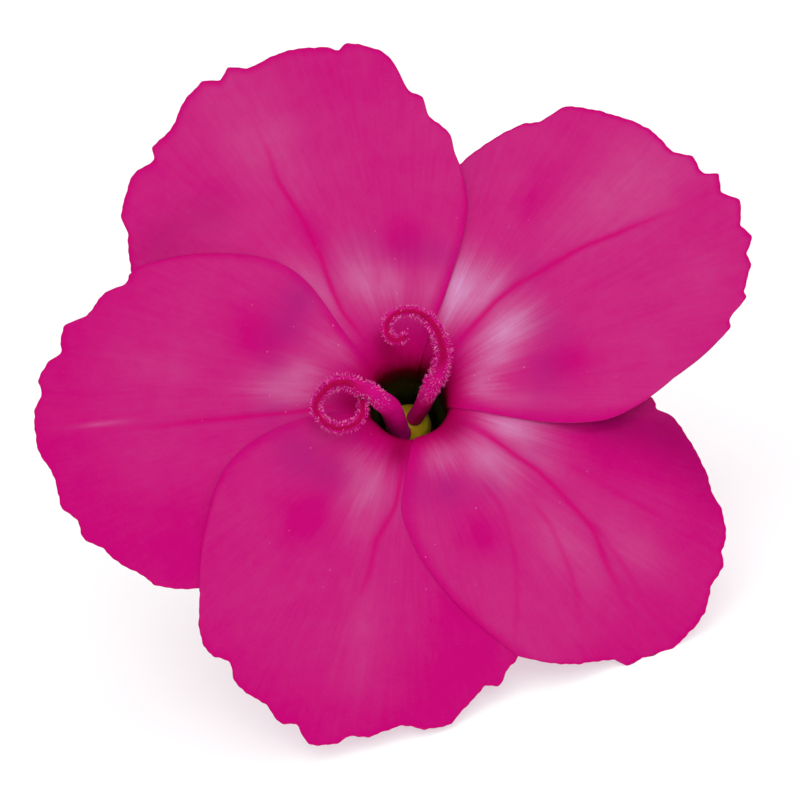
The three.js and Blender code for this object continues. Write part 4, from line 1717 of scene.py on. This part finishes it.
@dataclass(frozen=True)
class Spun:
    """A profile of radius and height pairs, carried round the flower's axis with shallow lobes.

    Faces that are level and well below its top take the flushed tint.
    """

    node: str
    slot: Slot
    finish: GreenFinish
    profile: Pairs
    lobes: int
    lobe_depth: float
    sides: int = 64
    rows: int = 120
    flat_step: float = 0.02
    flushes_below: Span = (0.5, 1.5)

    def build(self) -> None:
        """Radius is the profile's, times one plus the lobe depth times a cosine round the axis."""
        line = curve_through(self.profile, np.linspace(0.0, 1.0, self.rows), roundness=0.35)
        turn = np.linspace(0.0, 2.0 * np.pi, self.sides, endpoint=False)[None, :]
        lobes = np.cos(turn * self.lobes)
        radius = np.maximum(line[:, :1], 0.0) * (1.0 + self.lobe_depth * lobes)
        level = line[:, 1:]
        top = max(height for _, height in self.profile)
        flat = ease(np.abs(np.gradient(line[:, 1])), self.flat_step, 0.0)[:, None]
        flush = flat * ease(top - level, *self.flushes_below)
        skin = Skin(
            points=round_axis(radius, turn, level),
            faces=tube_faces(self.rows, self.sides),
            values={"flush": flush, "rib": 0.5 + 0.5 * lobes},
            flat_map=side_by_side(np.degrees(turn), level * MAP_PER_MM),
        )
        skin.piece(f"{self.node}_body", self.slot, self.finish.material(), self.node)


OVARY = Spun(
    node="ovary",
    slot=Slot.OVARY,
    finish=GreenFinish("ovary_skin", (0.72, 0.49, 0.012), (0.9, 0.66, 0.02), (0.72, 0.49, 0.015), 0.3),
    profile=(
        (0, -17.6), (0.7, -17.6), (0.7, -16.3), (2.05, -16.3), (2.05, -15.8), (0.6, -15.8), (0.6, -14.8),
        (0.85, -13.6), (1.0, -10), (1.1, -8.4), (1.3, -7.1), (1.1, -6.3), (0.55, -5.85), (0, -5.75),
    ),
    lobes=2,
    lobe_depth=0.04,
)

STALK = Spun(
    node="stalk",
    slot=Slot.STALK,
    finish=GreenFinish("stalk_green", (0.14, 0.24, 0.05), (0.28, 0.38, 0.12), (0.5, 0.52, 0.24)),
    profile=(
        (0, -22.5), (0.94, -22.5), (1.0, -22.35), (0.98, -20.5), (1.0, -18.9), (0.7, -18.45), (0, -18.45),
    ),
    lobes=7,
    lobe_depth=0.015,
)


@dataclass(frozen=True)
class Stamens:
    """Ten spent stamens on a ring round the ovary: bent threads with shrivelled heads."""

    count: int = 10
    ring: float = 1.3
    foot: float = -15.5
    top: float = -8.5
    thread_start: float = 0.1
    thread_radius: float = 0.17
    thread_grows: Span = (-0.01, 0.01)
    head_radius: float = 0.25
    head_height: float = 0.8
    head_spread: float = 0.36
    head_squash: float = 0.25
    head_pace: float = 1.7
    tip_rounding: float = 0.25
    bend: float = 0.12
    bend_pace: float = 2.3
    bend_aside: float = 0.6
    flush_depth: float = 0.5
    first: float = 4.0
    rings: int = 40
    sides: int = 12
    band_rise: float = 0.2
    band_radius: float = 0.2
    band_rings: int = 60
    band_sides: int = 8
    map_across: float = 20.0

    def stamen(self, order: int) -> Array:
        """One stamen: a tube whose radius swells at the head, on a line that bends a little.

        Args:
            order: Its number round the ring; its bend and its head's shape are sines of it.

        Returns:
            Points, ring by ring from the foot.
        """
        share = np.linspace(0.0, 1.0, self.rings)[:, None]
        end = self.top + self.head_height / 2.0
        level = mix(self.foot + self.thread_start, end, share)
        head = bump(level, self.top, self.head_height * self.head_spread)
        thread = self.thread_radius * ease(share, *self.thread_grows)
        radius = thread + (self.head_radius - self.thread_radius) * head
        radius = radius * rounded(end - level, self.tip_rounding)
        radius[0] = 0.0
        turn = np.linspace(0.0, 2.0 * np.pi, self.sides, endpoint=False)
        bend = self.bend * np.sin(share * np.pi) * np.sin(order * self.bend_pace)
        angle = np.radians(self.first + order * 360.0 / self.count) + bend * self.bend_aside
        x = self.ring + bend + radius * np.cos(turn)
        y = radius * np.sin(turn) * (1.0 + self.head_squash * head * np.sin(order * self.head_pace))
        east = x * np.cos(angle) - y * np.sin(angle)
        north = x * np.sin(angle) + y * np.cos(angle)
        return side_by_side(east, north, level)

    def band(self) -> tuple[Array, Array]:
        """The band that joins the stamens.

        Returns:
            Its points, and the faces that close it both ways.
        """
        turn = np.linspace(0.0, 2.0 * np.pi, self.band_sides, endpoint=False)
        angle = np.linspace(0.0, 2.0 * np.pi, self.band_rings, endpoint=False)[:, None]
        level = self.foot + self.band_rise + self.band_radius * np.sin(turn)
        points = round_axis(self.ring + self.band_radius * np.cos(turn), angle, level)
        index = np.arange(self.band_rings * self.band_sides).reshape(self.band_rings, self.band_sides)
        beside, onward = np.roll(index, -1, 1), np.roll(index, -1, 0)
        return points, side_by_side(index, onward, np.roll(beside, -1, 0), beside).reshape(-1, 4)

    def build(self) -> None:
        """Builds all the stamens and their band as one piece."""
        finish = GreenFinish("stamen_dry", (0.06, 0.07, 0.012), (0.14, 0.15, 0.03), (0.09, 0.03, 0.01))
        stamens = np.stack([self.stamen(order) for order in range(self.count)])
        tube, corners_each = tube_faces(self.rings, self.sides), self.rings * self.sides
        tubes = np.concatenate([tube + order * corners_each for order in range(self.count)])
        band, band_faces = self.band()
        points = np.concatenate([stamens.reshape(-1, 3), band.reshape(-1, 3)])
        flush = ease(points[:, 2], self.top - self.flush_depth, self.top)
        skin = Skin(
            points=points,
            faces=np.concatenate([tubes, band_faces + self.count * corners_each]),
            values={"flush": flush, "rib": np.zeros(len(points))},
            flat_map=side_by_side(points[:, 0] * self.map_across, points[:, 2] * MAP_PER_MM),
        )
        skin.piece("stamens_spent", Slot.STAMEN, finish.material(), "stamens")


@dataclass(frozen=True)
class Lamp:
    """A square soft light that is pointed at the throat.

    Attributes:
        name: The lamp's name.
        direction: Where it stands, along the camera's right, up and back.
        size: The width of its square, in metres.
        watts: Its power.
    """

    name: str
    direction: Point
    size: float
    watts: float


LAMPS = (
    Lamp(name="key", direction=(-0.25, 0.85, 0.75), size=0.4, watts=0.4),
    Lamp(name="front", direction=(0.12, 0.3, 1.0), size=0.2, watts=0.45),
)


@dataclass(frozen=True)
class Studio:
    """A pale floor that turns up into a backdrop, soft light, and the camera at the photo's angle."""

    tilt: float = 15.0
    lens: float = 100.0
    sensor: float = 36.0
    mm_per_pixel: float = 0.0559
    throat_pixel: Span = (409.0, 394.0)
    image_width: float = 800.0
    clip: Span = (0.005, 10.0)
    floor_flat: float = 0.5
    floor_half: float = 1.2
    floor_rise: float = 1.6
    floor_step: float = 0.05
    floor_near_rings: int = 12
    floor_far_rings: int = 30
    floor_sides: int = 96
    floor_dark: Colour = (0.58, 0.58, 0.58)
    floor_light: Colour = (0.6, 0.6, 0.6)
    floor_glow: float = 0.4
    floor_cloud: Noise = (40.0, 2.0, 0.5)
    floor_roughness: float = 0.85
    floor_cloud_roughness: float = 0.1
    floor_depth_mm: float = 0.02
    floor_specular: float = 0.1
    sky: float = 0.98
    lamp_distance: float = 0.5

    @staticmethod
    def placed(thing: bpy.types.Object, axes: Array, place: Array) -> None:
        """Puts a thing in the scene.

        Args:
            thing: The camera or the lamp.
            axes: The directions of its own axes, as columns.
            place: Where it stands, in metres.
        """
        rows = np.vstack([np.column_stack([axes, place]), [0.0, 0.0, 0.0, 1.0]])
        thing.matrix_world = Matrix(rows.tolist())
        bpy.context.scene.collection.objects.link(thing)

    def camera_axes(self) -> Array:
        """The camera's directions in the flower's own frame.

        Returns:
            Right, up and back as the columns of a 3 by 3 matrix.
        """
        tilt = np.radians(self.tilt)
        right, back = np.array([1.0, 0.0, 0.0]), np.array([0.0, -np.sin(tilt), np.cos(tilt)])
        return np.stack([right, np.cross(back, right), back], 1)

    def camera(self) -> None:
        """Sets the camera where the throat falls on its pixel at the photo's scale."""
        axes = self.camera_axes()
        distance = self.mm_per_pixel * self.image_width * self.lens / self.sensor
        half = self.image_width / 2.0
        right = (half - self.throat_pixel[0]) * self.mm_per_pixel
        up = (self.throat_pixel[1] - half) * self.mm_per_pixel
        data = bpy.data.cameras.new("camera")
        data.lens = self.lens
        data.sensor_width = self.sensor
        data.clip_start, data.clip_end = self.clip
        camera = bpy.data.objects.new("camera", data)
        self.placed(camera, REST.rotation() @ axes, REST.place(axes @ np.array([right, up, distance])))
        bpy.context.scene.camera = camera

    def floor(self) -> None:
        """One sheet: flat near the flower, rising far away by the square of the distance past the flat."""
        near = np.linspace(0.0, self.floor_flat, self.floor_near_rings)
        far = np.linspace(self.floor_flat + self.floor_step, self.floor_half, self.floor_far_rings)
        reach = np.append(near, far)[:, None]
        turn = np.linspace(0.0, 2.0 * np.pi, self.floor_sides, endpoint=False)[None, :]
        points = round_axis(reach, turn, self.floor_rise * np.maximum(reach - self.floor_flat, 0.0) ** 2)
        faces = tube_faces(len(reach), self.floor_sides)
        mesh = bpy.data.meshes.new("floor")
        mesh.from_pydata(points.reshape(-1, 3).tolist(), [], faces.tolist())
        mesh.polygons.foreach_set("use_smooth", np.ones(len(mesh.polygons), dtype=bool))
        sheet = Sheet("floor_paper")
        cloud = sheet.noise(sheet.place(), *self.floor_cloud)
        colour = sheet.blend(cloud, self.floor_dark, self.floor_light)
        constants = {"Specular IOR Level": self.floor_specular, "Emission Strength": self.floor_glow}
        roughness = self.floor_roughness + cloud * self.floor_cloud_roughness
        mesh.materials.append(sheet.finish(colour, roughness, cloud, self.floor_depth_mm, constants))
        made = bpy.data.objects.new("floor", mesh)
        bpy.context.scene.collection.objects.link(made)

    def light(self, lamp: Lamp) -> None:
        """Sets one lamp at its distance from the throat, pointed at it.

        Args:
            lamp: The lamp.
        """
        way = unit(REST.rotation() @ (self.camera_axes() @ np.array(lamp.direction)))
        data = bpy.data.lights.new(lamp.name, "AREA")
        data.size = lamp.size
        data.energy = lamp.watts
        side = unit(np.cross(way, np.array([0.0, 0.0, 1.0])))
        axes = np.stack([-side, np.cross(way, -side), way], 1)
        place = REST.place(np.zeros(3)) + way * self.lamp_distance
        self.placed(bpy.data.objects.new(lamp.name, data), axes, place)

    def build(self) -> None:
        """Sets the floor, the sky, the lights, the camera and plain colour handling."""
        self.floor()
        world = bpy.data.worlds.new("sky")
        world.use_nodes = True
        background = world.node_tree.nodes["Background"]
        background.inputs["Color"].default_value = (1.0, 1.0, 1.0, 1.0)
        background.inputs["Strength"].default_value = self.sky
        bpy.context.scene.world = world
        bpy.context.scene.view_settings.view_transform = "Standard"
        for lamp in LAMPS:
            self.light(lamp)
        self.camera()


def main() -> None:
    """Dresses the frame and sets the studio."""
    logging.basicConfig(level=logging.INFO, format="%(name)s %(message)s")
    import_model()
    for part in (Bloom(), Styles(), Calyx(), Bracts(), OVARY, Stamens(), STALK, Studio()):
        part.build()


if __name__ == "__main__":
    main()
